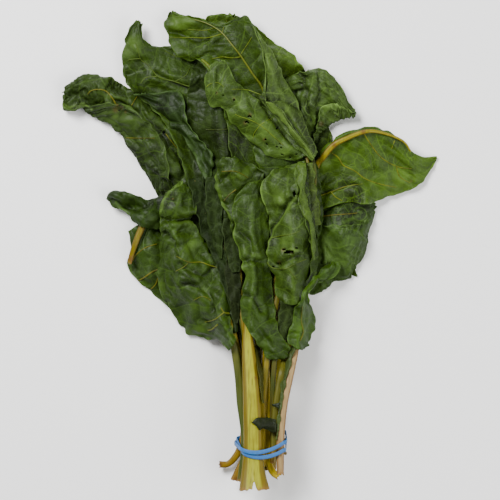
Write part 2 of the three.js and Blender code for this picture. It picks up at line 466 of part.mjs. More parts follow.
      [[327, 264, 5], [331, 262.8, 5], [335.6, 261.6, 4]],
    ],
    ridges: [[2.5, 4, [301, 308], [303, 330]], [-2, 4, [290, 335], [308, 333]],
      [2, 3, [322, 268], [316, 278]]],
    stalk: { tint: 'pink', path: [[280.2, 472], [279.8, 452], [280.6, 430], [283, 408],
      [286.4, 390], [291, 370], [295, 352], [299, 332], [303, 308], [305, 292], [314, 280],
      [326, 270]],
      widths: [6, 7, 7, 6.6, 6.4, 6, 5.4, 4.6, 3.6, 2.6, 2, 1.4], depth: 0.85 },
  },
};

// Scraps of leaf that lie across the stalks.
const SCRAPS = {
  scrapLong: { green: 'dark', steps: 8, crumple: 0.8, rows: [
    [[251, 420.4, 0], [251.4, 421, 0], [251.6, 421.6, 0]],
    [[256, 418.4, 0], [256.6, 421.8, 1], [257, 425, 0]],
    [[265, 415.8, 0], [265, 422.5, 2], [264, 429.4, 0]],
    [[276, 416.6, 0], [276, 422.6, 1], [275.6, 429, 0]]], ridges: [] },
  scrapShort: { green: 'dark', steps: 6, crumple: 0.5, rows: [
    [[272, 403.6, 0], [272.2, 404.2, 0], [272.6, 404.8, 0]],
    [[276, 401.8, 0], [276, 404.4, 1], [275.6, 407, 0]],
    [[279.4, 401, 0], [279, 404.6, 0], [278.4, 408, 0]]], ridges: [] },
};

// The order in which the pieces are laid, from the floor up.
const LAYING = [
  'back stalk', 'back blade', 'crumpled stalk', 'crumpled blade',
  'shoulder stalk', 'shoulder blade', 'corner blade', 'corner stalk',
  'farLeft stalk', 'farLeft blade', 'lowLeft stalk', 'lowLeft blade',
  'leftTip stalk', 'leftTip blade', 'horn stalk', 'horn blade',
  'middle blade', 'middle stalk', 'darkFold stalk', 'darkFold blade',
  'leftFront stalk', 'leftFront blade', 'crown blade', 'crown stalk',
  'under stalk', 'under blade', 'pierced stalk', 'pierced blade',
  'paleFlap stalk', 'paleFlap blade', 'curl stalk', 'curl blade',
  'rightCentre stalk', 'centre stalk', 'lowRight stalk', 'centre blade',
  'rightCentre blade', 'lowRight blade', 'scrapLong blade', 'scrapShort blade',
];

// ---- curves and height fields -------------------------------------------------------------

/** Place on the plan sheet to millimetres. */
function plan([x, y, z = 0], stretch = 1) {
  return [(x - SHEET_CENTRE[0]) * SQUARE, (SHEET_CENTRE[1] - y) * SQUARE, z * stretch];
}

/** Point on a smooth curve through `points` (arrays of numbers), at t from 0 to 1. */
function along(points, t) {
  const place = Math.min(Math.max(t, 0), 1) * (points.length - 1);
  const i = Math.min(Math.floor(place), points.length - 2);
  const f = place - i;
  const at = (k) => points[Math.min(Math.max(k, 0), points.length - 1)];
  const [a, b, c, d] = [at(i - 1), at(i), at(i + 1), at(i + 2)];
  return b.map((_, k) => b[k] + 0.5 * f * (c[k] - a[k]
    + f * (2 * a[k] - 5 * b[k] + 4 * c[k] - d[k] + f * (3 * (b[k] - c[k]) + d[k] - a[k]))));
}

/** Distance on the plan from (x, y) to a polyline. */
function distanceTo(line, x, y) {
  let best = Infinity;
  for (let i = 0; i < Math.max(line.length - 1, 1); i += 1) {
    const [ax, ay] = line[i];
    const [bx, by] = line[Math.min(i + 1, line.length - 1)];
    const [dx, dy] = [bx - ax, by - ay];
    const length2 = dx * dx + dy * dy;
    const s = length2 ? Math.min(Math.max(((x - ax) * dx + (y - ay) * dy) / length2, 0), 1) : 0;
    best = Math.min(best, Math.hypot(x - ax - s * dx, y - ay - s * dy));
  }
  return best;
}

// The soft crumple: waves per millimetre along x and y, and how each is shifted from leaf to leaf.
const CRUMPLE_WAVES = [
  { kx: 0.21, ky: 0.07, shift: 1.3 },
  { kx: -0.09, ky: 0.24, shift: 2.1 },
  { kx: 0.16, ky: -0.17, shift: 4.2 },
];

/** Height that the creases and the soft crumple add at a place in millimetres. */
function relief(leaf, seed, x, y) {
  let height = 0;
  for (const [rise, halfWidth, ...line] of leaf.ridges) {
    const reach = distanceTo(line.map(plan), x, y) / (halfWidth * SQUARE);
    height += rise * Math.exp(-reach * reach);
  }
  for (const { kx, ky, shift } of CRUMPLE_WAVES) {
    height += (leaf.crumple / 2) * Math.sin(kx * x + ky * y + shift * (seed + 1));
  }
  return height;
}

// ---- blades -------------------------------------------------------------------------------

/** Height of a row's open part at a plan distance from its folded edge. */
function heightInside(row, distance) {
  const edge = row[0];
  for (let i = 1; i < row.length; i += 1) {
    const near = Math.hypot(row[i - 1][0] - edge[0], row[i - 1][1] - edge[1]);
    const far = Math.hypot(row[i][0] - edge[0], row[i][1] - edge[1]);
    if (distance <= far) {
      const f = (distance - near) / Math.max(far - near, 1e-6);
      return row[i - 1][2] + f * (row[i][2] - row[i - 1][2]);
    }
  }
  return row[row.length - 1][2];
}

/** Points from a row's folded edge round the fold to the free edge of its margin. */
function foldedMargin(open, free) {
  const [edge, inner] = open;
  const out = [edge[0] - inner[0], edge[1] - inner[1]];
  const length = Math.hypot(...out) || 1;
  const span = Math.hypot(free[0] - edge[0], free[1] - edge[1]);
  const lift = Math.min(FLAP_GAP, LEAST_FLAP_SHARE * FLAP_GAP + FLAP_OPENING * span);
  const bulge = lift / 2 / length;
  const bend = [edge[0] + out[0] * bulge, edge[1] + out[1] * bulge, edge[2] + lift / 2];
  const top = [0, 0.5, 1].map((f) => {
    const height = heightInside(open, f * span);
    return [edge[0] + f * (free[0] - edge[0]), edge[1] + f * (free[1] - edge[1]),
      height + lift + f * free[2]];
  });
  return [bend, ...top];
}

/** Rows of points on the middle of a blade, before it is laid down. */
function bladeRows(leaf, seed) {
  const rows = [];
  const columns = leaf.rows[0].length;
  for (let i = 0; i <= leaf.steps; i += 1) {
    const t = i / leaf.steps;
    const net = [];
    for (let k = 0; k < columns; k += 1) {
      net.push(along(leaf.rows.map((row) => plan(row[k], FULLNESS)), t));
    }
    rows.push(bladeRow(leaf, net).map(([x, y, z]) => [x, y, z + relief(leaf, seed, x, y)]));
  }
  return rows;
}

/** One row of a blade: its open part, and its folded margin where it has one. */
function bladeRow(leaf, net) {
  const spread = (points) => Array.from({ length: BLADE_STEPS_ACROSS + 1 },
    (_, k) => along(points, k / BLADE_STEPS_ACROSS));
  if (leaf.flap === 'right') {
    const open = spread(net.slice(0, -1));
    return [...open, ...foldedMargin(open.slice().reverse(), net[net.length - 1])];
  }
  if (leaf.flap === 'left') {
    const open = spread(net.slice(1));
    return [...foldedMargin(open, net[0]).reverse(), ...open];
  }
  return spread(net);
}

/** Unit normal of a grid of points at row i, column j. */
function gridNormal(rows, i, j) {
  const last = [rows.length - 1, rows[0].length - 1];
  const difference = (a, b) => new THREE.Vector3(a[0] - b[0], a[1] - b[1], a[2] - b[2]);
  const across = difference(rows[i][Math.min(j + 1, last[1])], rows[i][Math.max(j - 1, 0)]);
  const forward = difference(rows[Math.min(i + 1, last[0])][j], rows[Math.max(i - 1, 0)][j]);
  return across.cross(forward).normalize();
}

/** Closed sheet of even thickness round a grid of points, split alike on both faces. */
function sheetSolid(rows) {
  const [n, m] = [rows.length, rows[0].length];
  const positions = [];
  for (const side of [0.5, -0.5]) {
    for (let i = 0; i < n; i += 1) {
      for (let j = 0; j < m; j += 1) {
        const offset = gridNormal(rows, i, j).multiplyScalar(side * BLADE_THICKNESS);
        const [x, y, z] = rows[i][j];
        positions.push(x + offset.x, y + offset.y, z + offset.z);
      }
    }
  }
  const top = (i, j) => i * m + j;
  const under = (i, j) => n * m + i * m + j;
  const indices = [];
  for (let i = 0; i < n - 1; i += 1) {
    for (let j = 0; j < m - 1; j += 1) {
      const [a, b, c, d] = [[i, j], [i, j + 1], [i + 1, j + 1], [i + 1, j]];
      indices.push(top(...a), top(...b), top(...c), top(...a), top(...c), top(...d));
      indices.push(under(...a), under(...c), under(...b), under(...a), under(...d), under(...c));
    }
  }
  const rim = [];
  for (let j = 0; j < m - 1; j += 1) rim.push([0, j]);
  for (let i = 0; i < n - 1; i += 1) rim.push([i, m - 1]);
  for (let j = m - 1; j > 0; j -= 1) rim.push([n - 1, j]);
  for (let i = n - 1; i > 0; i -= 1) rim.push([i, 0]);
  rim.forEach((here, k) => {
    const next = rim[(k + 1) % rim.length];
    indices.push(top(...here), under(...here), under(...next));
    indices.push(top(...here), under(...next), top(...next));
  });
  return solid(positions, indices);
}

// ---- stalks -------------------------------------------------------------------------------

/** Rings of points round a stalk and its midrib, before it is laid down. */
function stalkRings(stalk) {
  const steps = Math.round((stalk.path.length - 1) * STALK_STEPS_PER_POINT);
  const line = stalk.path.map(([x, y], i) => [...plan([x, y]).slice(0, 2), stalk.widths[i]]);
  const rings = [];
  for (let i = 0; i <= steps; i += 1) {
    const [x, y, width] = along(line, i / steps);
    const before = along(line, (i - RING_PROBE) / steps);
    const after = along(line, (i + RING_PROBE) / steps);
    const forward = Math.hypot(after[0] - before[0], after[1] - before[1]);
    const side = [(after[1] - before[1]) / forward, -(after[0] - before[0]) / forward];
    rings.push(stalkRing([x, y], side, width, Math.max(stalk.depth * width, THINNEST_STALK)));
  }
  return rings;
}

/** One ring: a rounded section that stands on a flat side. */
function stalkRing([x, y], side, width, depth) {
  const ring = [];
  const low = Math.cos(Math.PI / STALK_SIDES);
  for (let k = 0; k < STALK_SIDES; k += 1) {
    const angle = ((k + 0.5) / STALK_SIDES) * 2 * Math.PI - Math.PI / 2;
    const out = (width / 2 / low) * Math.cos(angle);
    ring.push([x + side[0] * out, y + side[1] * out, (depth / 2) * (1 + Math.sin(angle) / low)]);
  }
  return ring;
}

/** Closed tube through rings of points. */
function tubeSolid(rings) {
  const count = rings[0].length;
  const positions = rings.flat(2);
  const indices = [];
  for (let i = 0; i < rings.length - 1; i += 1) {
    for (let k = 0; k < count; k += 1) {
      const [a, b] = [i * count + k, i * count + ((k + 1) % count)];
      indices.push(a, b, b + count, a, b + count, a + count);
    }
  }
  const end = (rings.length - 1) * count;
  for (let k = 1; k < count - 1; k += 1) {
    indices.push(0, k + 1, k, end, end + k, end + k + 1);
  }
  return solid(positions, indices);
}

/** Geometry from flat lists, turned so that its faces point out. */
function solid(positions, indices) {
  const geometry = new THREE.BufferGeometry();
  geometry.setAttribute('position', new THREE.Float32BufferAttribute(positions, 3));
  geometry.setIndex(signedVolume(positions, indices) < 0 ? flipped(indices) : indices);
  return geometry;
}

function flipped(indices) {
  return indices.map((_, k) => indices[k % 3 === 0 ? k : k % 3 === 1 ? k + 1 : k - 1]);
}

function signedVolume(positions, indices) {
  const corner = (k) => new THREE.Vector3().fromArray(positions, 3 * indices[k]);
  let volume = 0;
  for (let k = 0; k < indices.length; k += 3) {
    volume += corner(k).dot(corner(k + 1).cross(corner(k + 2))) / 6;
  }
  return volume;
}

// ---- laying the pieces one on another -----------------------------------------------------

const CELL = 1;                   // of the height map, in millimetres
const MAP_WIDTH = 360;
const MAP_DEPTH = 460;
const EDGE_SLACK = 0.75;          // how far outside a triangle a cell still counts, in cells
const FLAT_AREA = 1e-9;           // a triangle that stands on its edge
const SOFT = { drapeRounds: 26, reach: 6 };
const STIFF = { drapeRounds: 0, reach: 1 };
const DRAPE_REACH = 3;            // cells smoothed together each way
const TOUCH_UP_ROUNDS = 12;
const CLOSE_ENOUGH = 0.02;        // millimetres of the layer gap that may be missing
const BEND_ROUNDS = 2;            // how far a lift spreads along a stalk
const SPAN_PROBES = [0, 0.11, 0.22, 0.33, 0.44, 0.55];  // places on the way to the next ring

function cornerOf(position, i) {
  return new THREE.Vector3().fromBufferAttribute(position, i);
}

/** Height field over the floor, in cells. */
class HeightMap {
  constructor(fill) {
    this.cells = new Float32Array(MAP_WIDTH * MAP_DEPTH).fill(fill);
  }

  static column(x) {
    return Math.round(x / CELL + MAP_WIDTH / 2);
  }

  static line(y) {
    return Math.round(y / CELL + MAP_DEPTH / 2);
  }

  /** Set the cells between two corners to a height. */
  fill(from, to, height) {
    for (let col = HeightMap.column(from[0]); col <= HeightMap.column(to[0]); col += 1) {
      for (let row = HeightMap.line(to[1]); row <= HeightMap.line(from[1]); row += 1) {
        this.cells[row * MAP_WIDTH + col] = height;
      }
    }
  }

  /** Keep the higher (sign 1) or the lower (sign -1) of the map and a geometry. */
  stamp(geometry, sign) {
    const position = geometry.getAttribute('position');
    const { array: index } = geometry.index;
    for (let k = 0; k < index.length; k += 3) {
      const corners = [0, 1, 2].map((c) => cornerOf(position, index[k + c]));
      this.stampTriangle(corners, sign);
      this.stampEdge(corners[0], corners[1], sign);
      this.stampEdge(corners[1], corners[2], sign);
    }
  }

  /** An edge marks the cells it passes, so that steep faces are not missed. */
  stampEdge(a, b, sign) {
    const steps = Math.ceil(Math.hypot(b.x - a.x, b.y - a.y) / CELL) + 1;
    for (let k = 0; k <= steps; k += 1) {
      const p = a.clone().lerp(b, k / steps);
      for (const dx of [-0.5, 0.5]) {
        for (const dy of [-0.5, 0.5]) {
          this.keep(HeightMap.line(p.y + dy) * MAP_WIDTH + HeightMap.column(p.x + dx), p.z, sign);
        }
      }
    }
  }

  keep(cell, z, sign) {
    if (sign * z > sign * this.cells[cell]) this.cells[cell] = z;
  }

  stampTriangle([a, b, c], sign) {
    const area = (b.x - a.x) * (c.y - a.y) - (c.x - a.x) * (b.y - a.y);
    if (Math.abs(area) < FLAT_AREA) return;
    const [left, right] = [Math.min(a.x, b.x, c.x) - CELL, Math.max(a.x, b.x, c.x) + CELL];
    const [near, far] = [Math.min(a.y, b.y, c.y) - CELL, Math.max(a.y, b.y, c.y) + CELL];
    for (let col = HeightMap.column(left); col <= HeightMap.column(right); col += 1) {
      for (let row = HeightMap.line(near); row <= HeightMap.line(far); row += 1) {
        const x = (col - MAP_WIDTH / 2) * CELL;
        const y = (row - MAP_DEPTH / 2) * CELL;
        const z = heightOnTriangle(a, b, c, area, x, y, EDGE_SLACK * CELL);
        if (z !== null) this.keep(row * MAP_WIDTH + col, z, sign);
      }
    }
  }

  at(x, y) {
    return this.cells[HeightMap.line(y) * MAP_WIDTH + HeightMap.column(x)];
  }
}

/** Height of a triangle at (x, y), or null outside it by more than `slack`. */
function heightOnTriangle(a, b, c, area, x, y, slack) {
  const u = ((b.x - x) * (c.y - y) - (c.x - x) * (b.y - y)) / area;
  const v = ((c.x - x) * (a.y - y) - (a.x - x) * (c.y - y)) / area;
  const w = 1 - u - v;
  const size = Math.abs(area);
  const inside = (weight, p, q) => (weight * size) / Math.max(Math.hypot(p.x - q.x, p.y - q.y), 1e-6);
  if (Math.min(inside(u, b, c), inside(v, c, a), inside(w, a, b)) < -slack) return null;
  const [cu, cv, cw] = [u, v, w].map((weight) => Math.min(Math.max(weight, 0), 1));
  return (cu * a.z + cv * b.z + cw * c.z) / (cu + cv + cw);
}

/** Mean of the held cells within reach of each held cell, across and then down. */
function blurred(cells, held) {
  const pass = (values, step) => {
    const result = new Float32Array(values.length);
    for (const cell of held.list) {
      let [sum, count] = [0, 0];
      for (let k = -DRAPE_REACH; k <= DRAPE_REACH; k += 1) {
        const other = cell + k * step;
        sum += held.mask[other] * values[other];
        count += held.mask[other];
      }
      result[cell] = sum / count;
    }
    return result;
  };
  return pass(pass(cells, 1), MAP_WIDTH);
}

/** The highest positive value within reach of each held cell. */
function dilated(cells, held, reach) {
  const pass = (values, step) => {
    const result = new Float32Array(values.length);
    for (const cell of held.list) {
      for (let k = -reach; k <= reach; k += 1) {
        result[cell] = Math.max(result[cell], values[cell + k * step]);
      }
    }
    return result;
  };
  return pass(pass(cells, 1), MAP_WIDTH);
}

/**
 * The cells under a geometry, and by how much each has to rise to clear the pile,
 * where the piece settles by no more than `most` of its own height.
 */
function shortfall(pile, geometry, most = Infinity) {
  const under = new HeightMap(Infinity);
  under.stamp(geometry, -1);
  const held = { list: [], mask: new Uint8Array(under.cells.length) };
  const need = new Float32Array(under.cells.length);
  under.cells.forEach((bottom, cell) => {
    if (bottom === Infinity) return;
    held.list.push(cell);
    held.mask[cell] = 1;
    const give = Math.min(bottom, most);
    need[cell] = pile.cells[cell] + (pile.cells[cell] > 0 ? LAYER_GAP : 0) - give;
  });
  return { held, need };
}

/**
 * Lay a piece on the pile: `build(rise)` makes it with rise(x, y) added to its heights.
 * A blade drapes softly, and gives way up to a few cells from where it touches. A stalk is
 * stiff and rises only as far as it has to.
 */
function lay(pile, build, { drapeRounds, reach }) {
  const rise = new HeightMap(0);
  const { held, need } = shortfall(pile, build(() => 0), SETTLING);
  for (const cell of held.list) rise.cells[cell] = need[cell];
  for (let round = 0; round < drapeRounds; round += 1) {
    const smooth = blurred(rise.cells, held);
    for (const cell of held.list) rise.cells[cell] = Math.max(smooth[cell], need[cell]);
  }
  let geometry = build((x, y) => rise.at(x, y));
  for (let round = 0; round < TOUCH_UP_ROUNDS; round += 1) {
    const short = shortfall(pile, geometry);
    if (short.held.list.every((cell) => short.need[cell] < CLOSE_ENOUGH)) break;
    let more = dilated(short.need, short.held, reach);
    if (drapeRounds) more = blurred(more, short.held);
    for (const cell of short.held.list) rise.cells[cell] += more[cell];
    geometry = build((x, y) => rise.at(x, y));
  }
  pile.stamp(geometry, 1);
  return geometry;
}

const bladeBuilder = (leaf, seed) => {
  const rows = bladeRows(leaf, seed);
  return (rise) => sheetSolid(rows.map((row) => row.map(([x, y, z]) => [x, y, z + rise(x, y)])));
};

/** The most that a stalk has to rise near ring i. */
function liftNear(rings, i, rise) {
  let most = 0;
  for (const side of [-1, 1]) {
    const other = rings[i + side];
    if (!other) continue;
    for (const f of SPAN_PROBES) {
      rings[i].forEach(([x, y], k) => {
        most = Math.max(most, rise(x + f * (other[k][0] - x), y + f * (other[k][1] - y)));
      });
    }
  }
  return most;
}

/** Each lift raised at least to the mean of its neighbours. */
function bent(lifts) {
  return lifts.map((lift, i) => {
    const [before, after] = [lifts[i - 1] ?? lift, lifts[i + 1] ?? lift];
    return Math.max(lift, (before + after) / 2);
  });
}

/** A stalk rises where it has to, and its foot runs straight on from where the band grips it. */
const stalkBuilder = (stalk) => {
  const rings = stalkRings(stalk);
  const [, bandHeight] = plan(BAND_MIDDLE);
  const gripped = rings.findIndex(([corner]) => corner[1] > bandHeight);
  return (rise) => {
    let lifts = rings.map((_, i) => liftNear(rings, i, rise));
    for (let round = 0; round < BEND_ROUNDS; round += 1) lifts = bent(lifts);
    for (let i = gripped - 1; i >= 0; i -= 1) lifts[i] = Math.max(lifts[i], lifts[i + 1]);
    return tubeSolid(rings.map((ring, i) => ring.map(([x, y, z]) => [x, y, z + lifts[i]])));
  };
};

// ---- the rubber band ----------------------------------------------------------------------

const EDGE_PROBE = 0.125;         // share of an edge between the places looked at along it
const TURN_PROBE = 0.04;          // share of a turn looked ahead and back for its direction

/** How far up the stalks the band's middle line is, over a place across them. */
function bandLine(x, z) {
  const [middle, station] = plan(BAND_MIDDLE);
  return station + BAND_SLOPE * (x - middle) - BAND_TILT * (z - BAND_HALF_WAY);
}

/** Convex outline, in [x, z], of the pieces' points close to the band. */
function bundleOutline(geometries) {
  const points = [];
  for (const geometry of geometries) {
    const position = geometry.getAttribute('position');
    const { array: index } = geometry.index;
    for (let k = 0; k < index.length; k += 3) {
      for (let c = 0; c < 3; c += 1) {
        const a = cornerOf(position, index[k + c]);
        const b = cornerOf(position, index[k + ((c + 1) % 3)]);
        for (let f = 0; f <= 1; f += EDGE_PROBE) {
          const p = a.clone().lerp(b, f);
          if (Math.abs(p.y - bandLine(p.x, p.z)) < BAND_REACH) points.push([p.x, p.z]);
        }
      }
    }
  }
  return convexHull(points);
}

function convexHull(points) {
  const sorted = points.slice().sort((a, b) => a[0] - b[0] || a[1] - b[1]);
  const turn = (o, a, b) => (a[0] - o[0]) * (b[1] - o[1]) - (a[1] - o[1]) * (b[0] - o[0]);
  const half = (list) => list.reduce((chain, p) => {
    while (chain.length > 1 && turn(chain.at(-2), chain.at(-1), p) <= 0) chain.pop();
    return [...chain, p];
  }, []);
  return [...half(sorted).slice(0, -1), ...half(sorted.reverse()).slice(0, -1)];
}

/** Place on a convex outline, at a share of its length. */
function onOutline(outline, share) {
  const count = outline.length;
  const lengths = outline.map((p, i) => {
    const q = outline[(i + 1) % count];
    return Math.hypot(q[0] - p[0], q[1] - p[1]);
  });
  let left = (share - Math.floor(share)) * lengths.reduce((a, b) => a + b);
  let i = 0;
  while (left > lengths[i]) {
    left -= lengths[i];
    i = (i + 1) % count;
  }
  const [p, q] = [outline[i], outline[(i + 1) % count]];
  const f = left / lengths[i];
  return [p[0] + f * (q[0] - p[0]), p[1] + f * (q[1] - p[1])];
}

/** The band: one closed loop that goes twice round the stalks and crosses itself once. */
function bandGeometry(outline) {
  const rings = [];
  for (let i = 0; i < BAND_STEPS; i += 1) rings.push(bandRing(outline, (2 * i) / BAND_STEPS));
  return loopSolid(rings);
}

/** One ring of the band, after a number of turns: the strands cross half a turn from the start. */
function bandRing(outline, turn) {
  const share = turn + BAND_CROSSING - 0.5;
  const here = onOutline(outline, share);
  const before = onOutline(outline, share - TURN_PROBE);
  const after = onOutline(outline, share + TURN_PROBE);
  const forward = [after[0] - before[0], after[1] - before[1]];
  const size = Math.hypot(...forward);
  const out = [forward[1] / size, -forward[0] / size];
  const stack = BAND_HALF_STACK * (1 + Math.sin(Math.PI * turn));
  const clear = BAND_CLEARANCE + BAND_THICKNESS / 2 + stack;
  const spread = BAND_HALF_SPREAD * Math.cos(Math.PI * turn);
  return [[-1, -1], [-1, 1], [1, 1], [1, -1]].map(([a, b]) => {
    const reach = clear + (a * BAND_THICKNESS) / 2;
    const [x, z] = [here[0] + out[0] * reach, here[1] + out[1] * reach];
    return [x, bandLine(x, z) + spread + (b * BAND_WIDTH) / 2, z];
  });
}

/** Closed loop through rings of points. */
function loopSolid(rings) {
  const count = rings[0].length;
  const indices = [];
  for (let i = 0; i < rings.length; i += 1) {
    const next = (i + 1) % rings.length;
    for (let k = 0; k < count; k += 1) {
      const step = (k + 1) % count;
      const [a, b, c, d] = [i * count + k, i * count + step, next * count + step, next * count + k];
      indices.push(a, b, c, a, c, d);
    }
  }
  return solid(rings.flat(2), indices);
}

// ---- the bunch ----------------------------------------------------------------------------

function nodeName(item) {
  const [name, kind] = item.split(' ');
  return name in SCRAPS ? name : `${name}_${kind}`;
}

function addPiece(bunch, name, geometry, color, roughness) {
  const material = new THREE.MeshStandardMaterial({ color, roughness, metalness: 0 });
  const mesh = new THREE.Mesh(geometry, material);
  mesh.name = name;
  bunch.add(mesh);
}

/** Room left on the floor for the two strands of the band. */
function layBandOnFloor(pile) {
  const strands = BAND_CLEARANCE + BAND_THICKNESS + 2 * BAND_HALF_STACK;
  pile.fill(plan(BAND_LIES.from), plan(BAND_LIES.to), strands);
}

const chardBunch = new THREE.Group();
const pile = new HeightMap(0);
const stalkGeometries = [];
layBandOnFloor(pile);
LAYING.forEach((item, seed) => {
  const [name, kind] = item.split(' ');
  const leaf = LEAVES[name] ?? SCRAPS[name];
  if (kind === 'stalk') {
    const geometry = lay(pile, stalkBuilder(leaf.stalk), STIFF);
    stalkGeometries.push(geometry);
    addPiece(chardBunch, nodeName(item), geometry, STALKS[leaf.stalk.tint], STALK_ROUGHNESS);
  } else {
    const geometry = lay(pile, bladeBuilder(leaf, seed), SOFT);
    addPiece(chardBunch, nodeName(item), geometry, GREENS[leaf.green], BLADE_ROUGHNESS);
  }
});
const bandShape = bandGeometry(bundleOutline(stalkGeometries));
addPiece(chardBunch, 'rubber_band', bandShape, BAND_BLUE, BAND_ROUGHNESS);

export default chardBunch;
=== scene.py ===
"""Dresses a bunch of rainbow chard: blistered leaves, ribbed stalks and the band round them.

Places on the bunch are written on the same plan sheet as the solids: [x, y] counts small
squares to the right and down, seen from above. Lengths are in millimetres until a mesh is made.
"""

import logging
import math
from dataclasses import dataclass, field
from enum import Enum
from typing import Optional, Sequence

import bpy
import numpy as np
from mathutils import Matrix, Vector


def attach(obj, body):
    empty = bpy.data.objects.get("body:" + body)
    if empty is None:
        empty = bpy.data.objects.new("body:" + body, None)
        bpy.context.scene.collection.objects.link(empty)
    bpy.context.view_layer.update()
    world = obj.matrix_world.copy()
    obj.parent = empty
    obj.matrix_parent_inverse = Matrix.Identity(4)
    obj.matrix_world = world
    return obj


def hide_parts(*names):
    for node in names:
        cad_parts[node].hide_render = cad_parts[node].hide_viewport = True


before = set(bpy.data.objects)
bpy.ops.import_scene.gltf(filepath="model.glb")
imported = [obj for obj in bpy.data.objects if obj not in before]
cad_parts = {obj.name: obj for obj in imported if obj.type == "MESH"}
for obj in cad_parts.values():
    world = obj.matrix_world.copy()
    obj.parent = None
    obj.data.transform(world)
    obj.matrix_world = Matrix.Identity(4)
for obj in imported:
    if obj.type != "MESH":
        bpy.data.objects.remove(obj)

LOG = logging.getLogger("chard")

SQUARE = 0.9  # one square of the plan sheet
SHEET_CENTRE = (249.97, 249.96)  # the place on the sheet that lies over the origin
METRE = 0.001  # one millimetre in metres
SOLID_THICKNESS = 0.8  # of the blades' solids
STEPS_ACROSS = 5  # of the blades' solids
STALK_SIDES = 8  # of the stalks' solids
STEPS_PER_POINT = 1.4  # rings of a stalk's solid for each place on its path
RING_PROBE = 0.3  # how far before and after a ring its direction is read, in rings
PAIR_SLACK = 0.02  # how far a pair of corners may stand from its place on the plan
THICKNESS_SLACK = 0.03  # how far apart from a blade's thickness a pair may be
CORNER_SLACK = 0.03  # how far the lowest corner of a ring may be from where it is sought
SPOT_STRENGTH = 0.8  # of a rusty spot's middle
FAR = 99.0  # further than anything on the bunch
TINY = 1e-6  # keeps a length that is divided by above zero

Place = tuple[float, float]
Line = tuple[float, ...]  # places by turns: x, y, x, y and so on


class Side(Enum):
    """The margin that is folded over, as one looks along the leaf."""

    LEFT = "left"
    RIGHT = "right"


class Tone(Enum):
    """How light a leaf's green is."""

    DARK = "dark"
    DEEP = "deep"
    MID = "mid"
    LIT = "lit"
    PALE = "pale"


class Tint(Enum):
    """The colour of a stalk."""

    CREAM = "cream"
    YELLOW = "yellow"
    OLIVE = "olive"
    PINK = "pink"
    TAN = "tan"
    GREEN = "green"


@dataclass(frozen=True)
class BladePlan:
    """Outline of a blade: rows of places from the stalk end to the tip, left to right."""

    tone: Tone
    steps: int
    rows: tuple[Line, ...]
    flap: Optional[Side] = None


@dataclass(frozen=True)
class StalkPlan:
    """Path of a stalk and its midrib from the cut end to the tip, and its widths there."""

    tint: Tint
    path: Line
    widths: tuple[float, ...]
    depth: float = 0.7  # as a share of its width


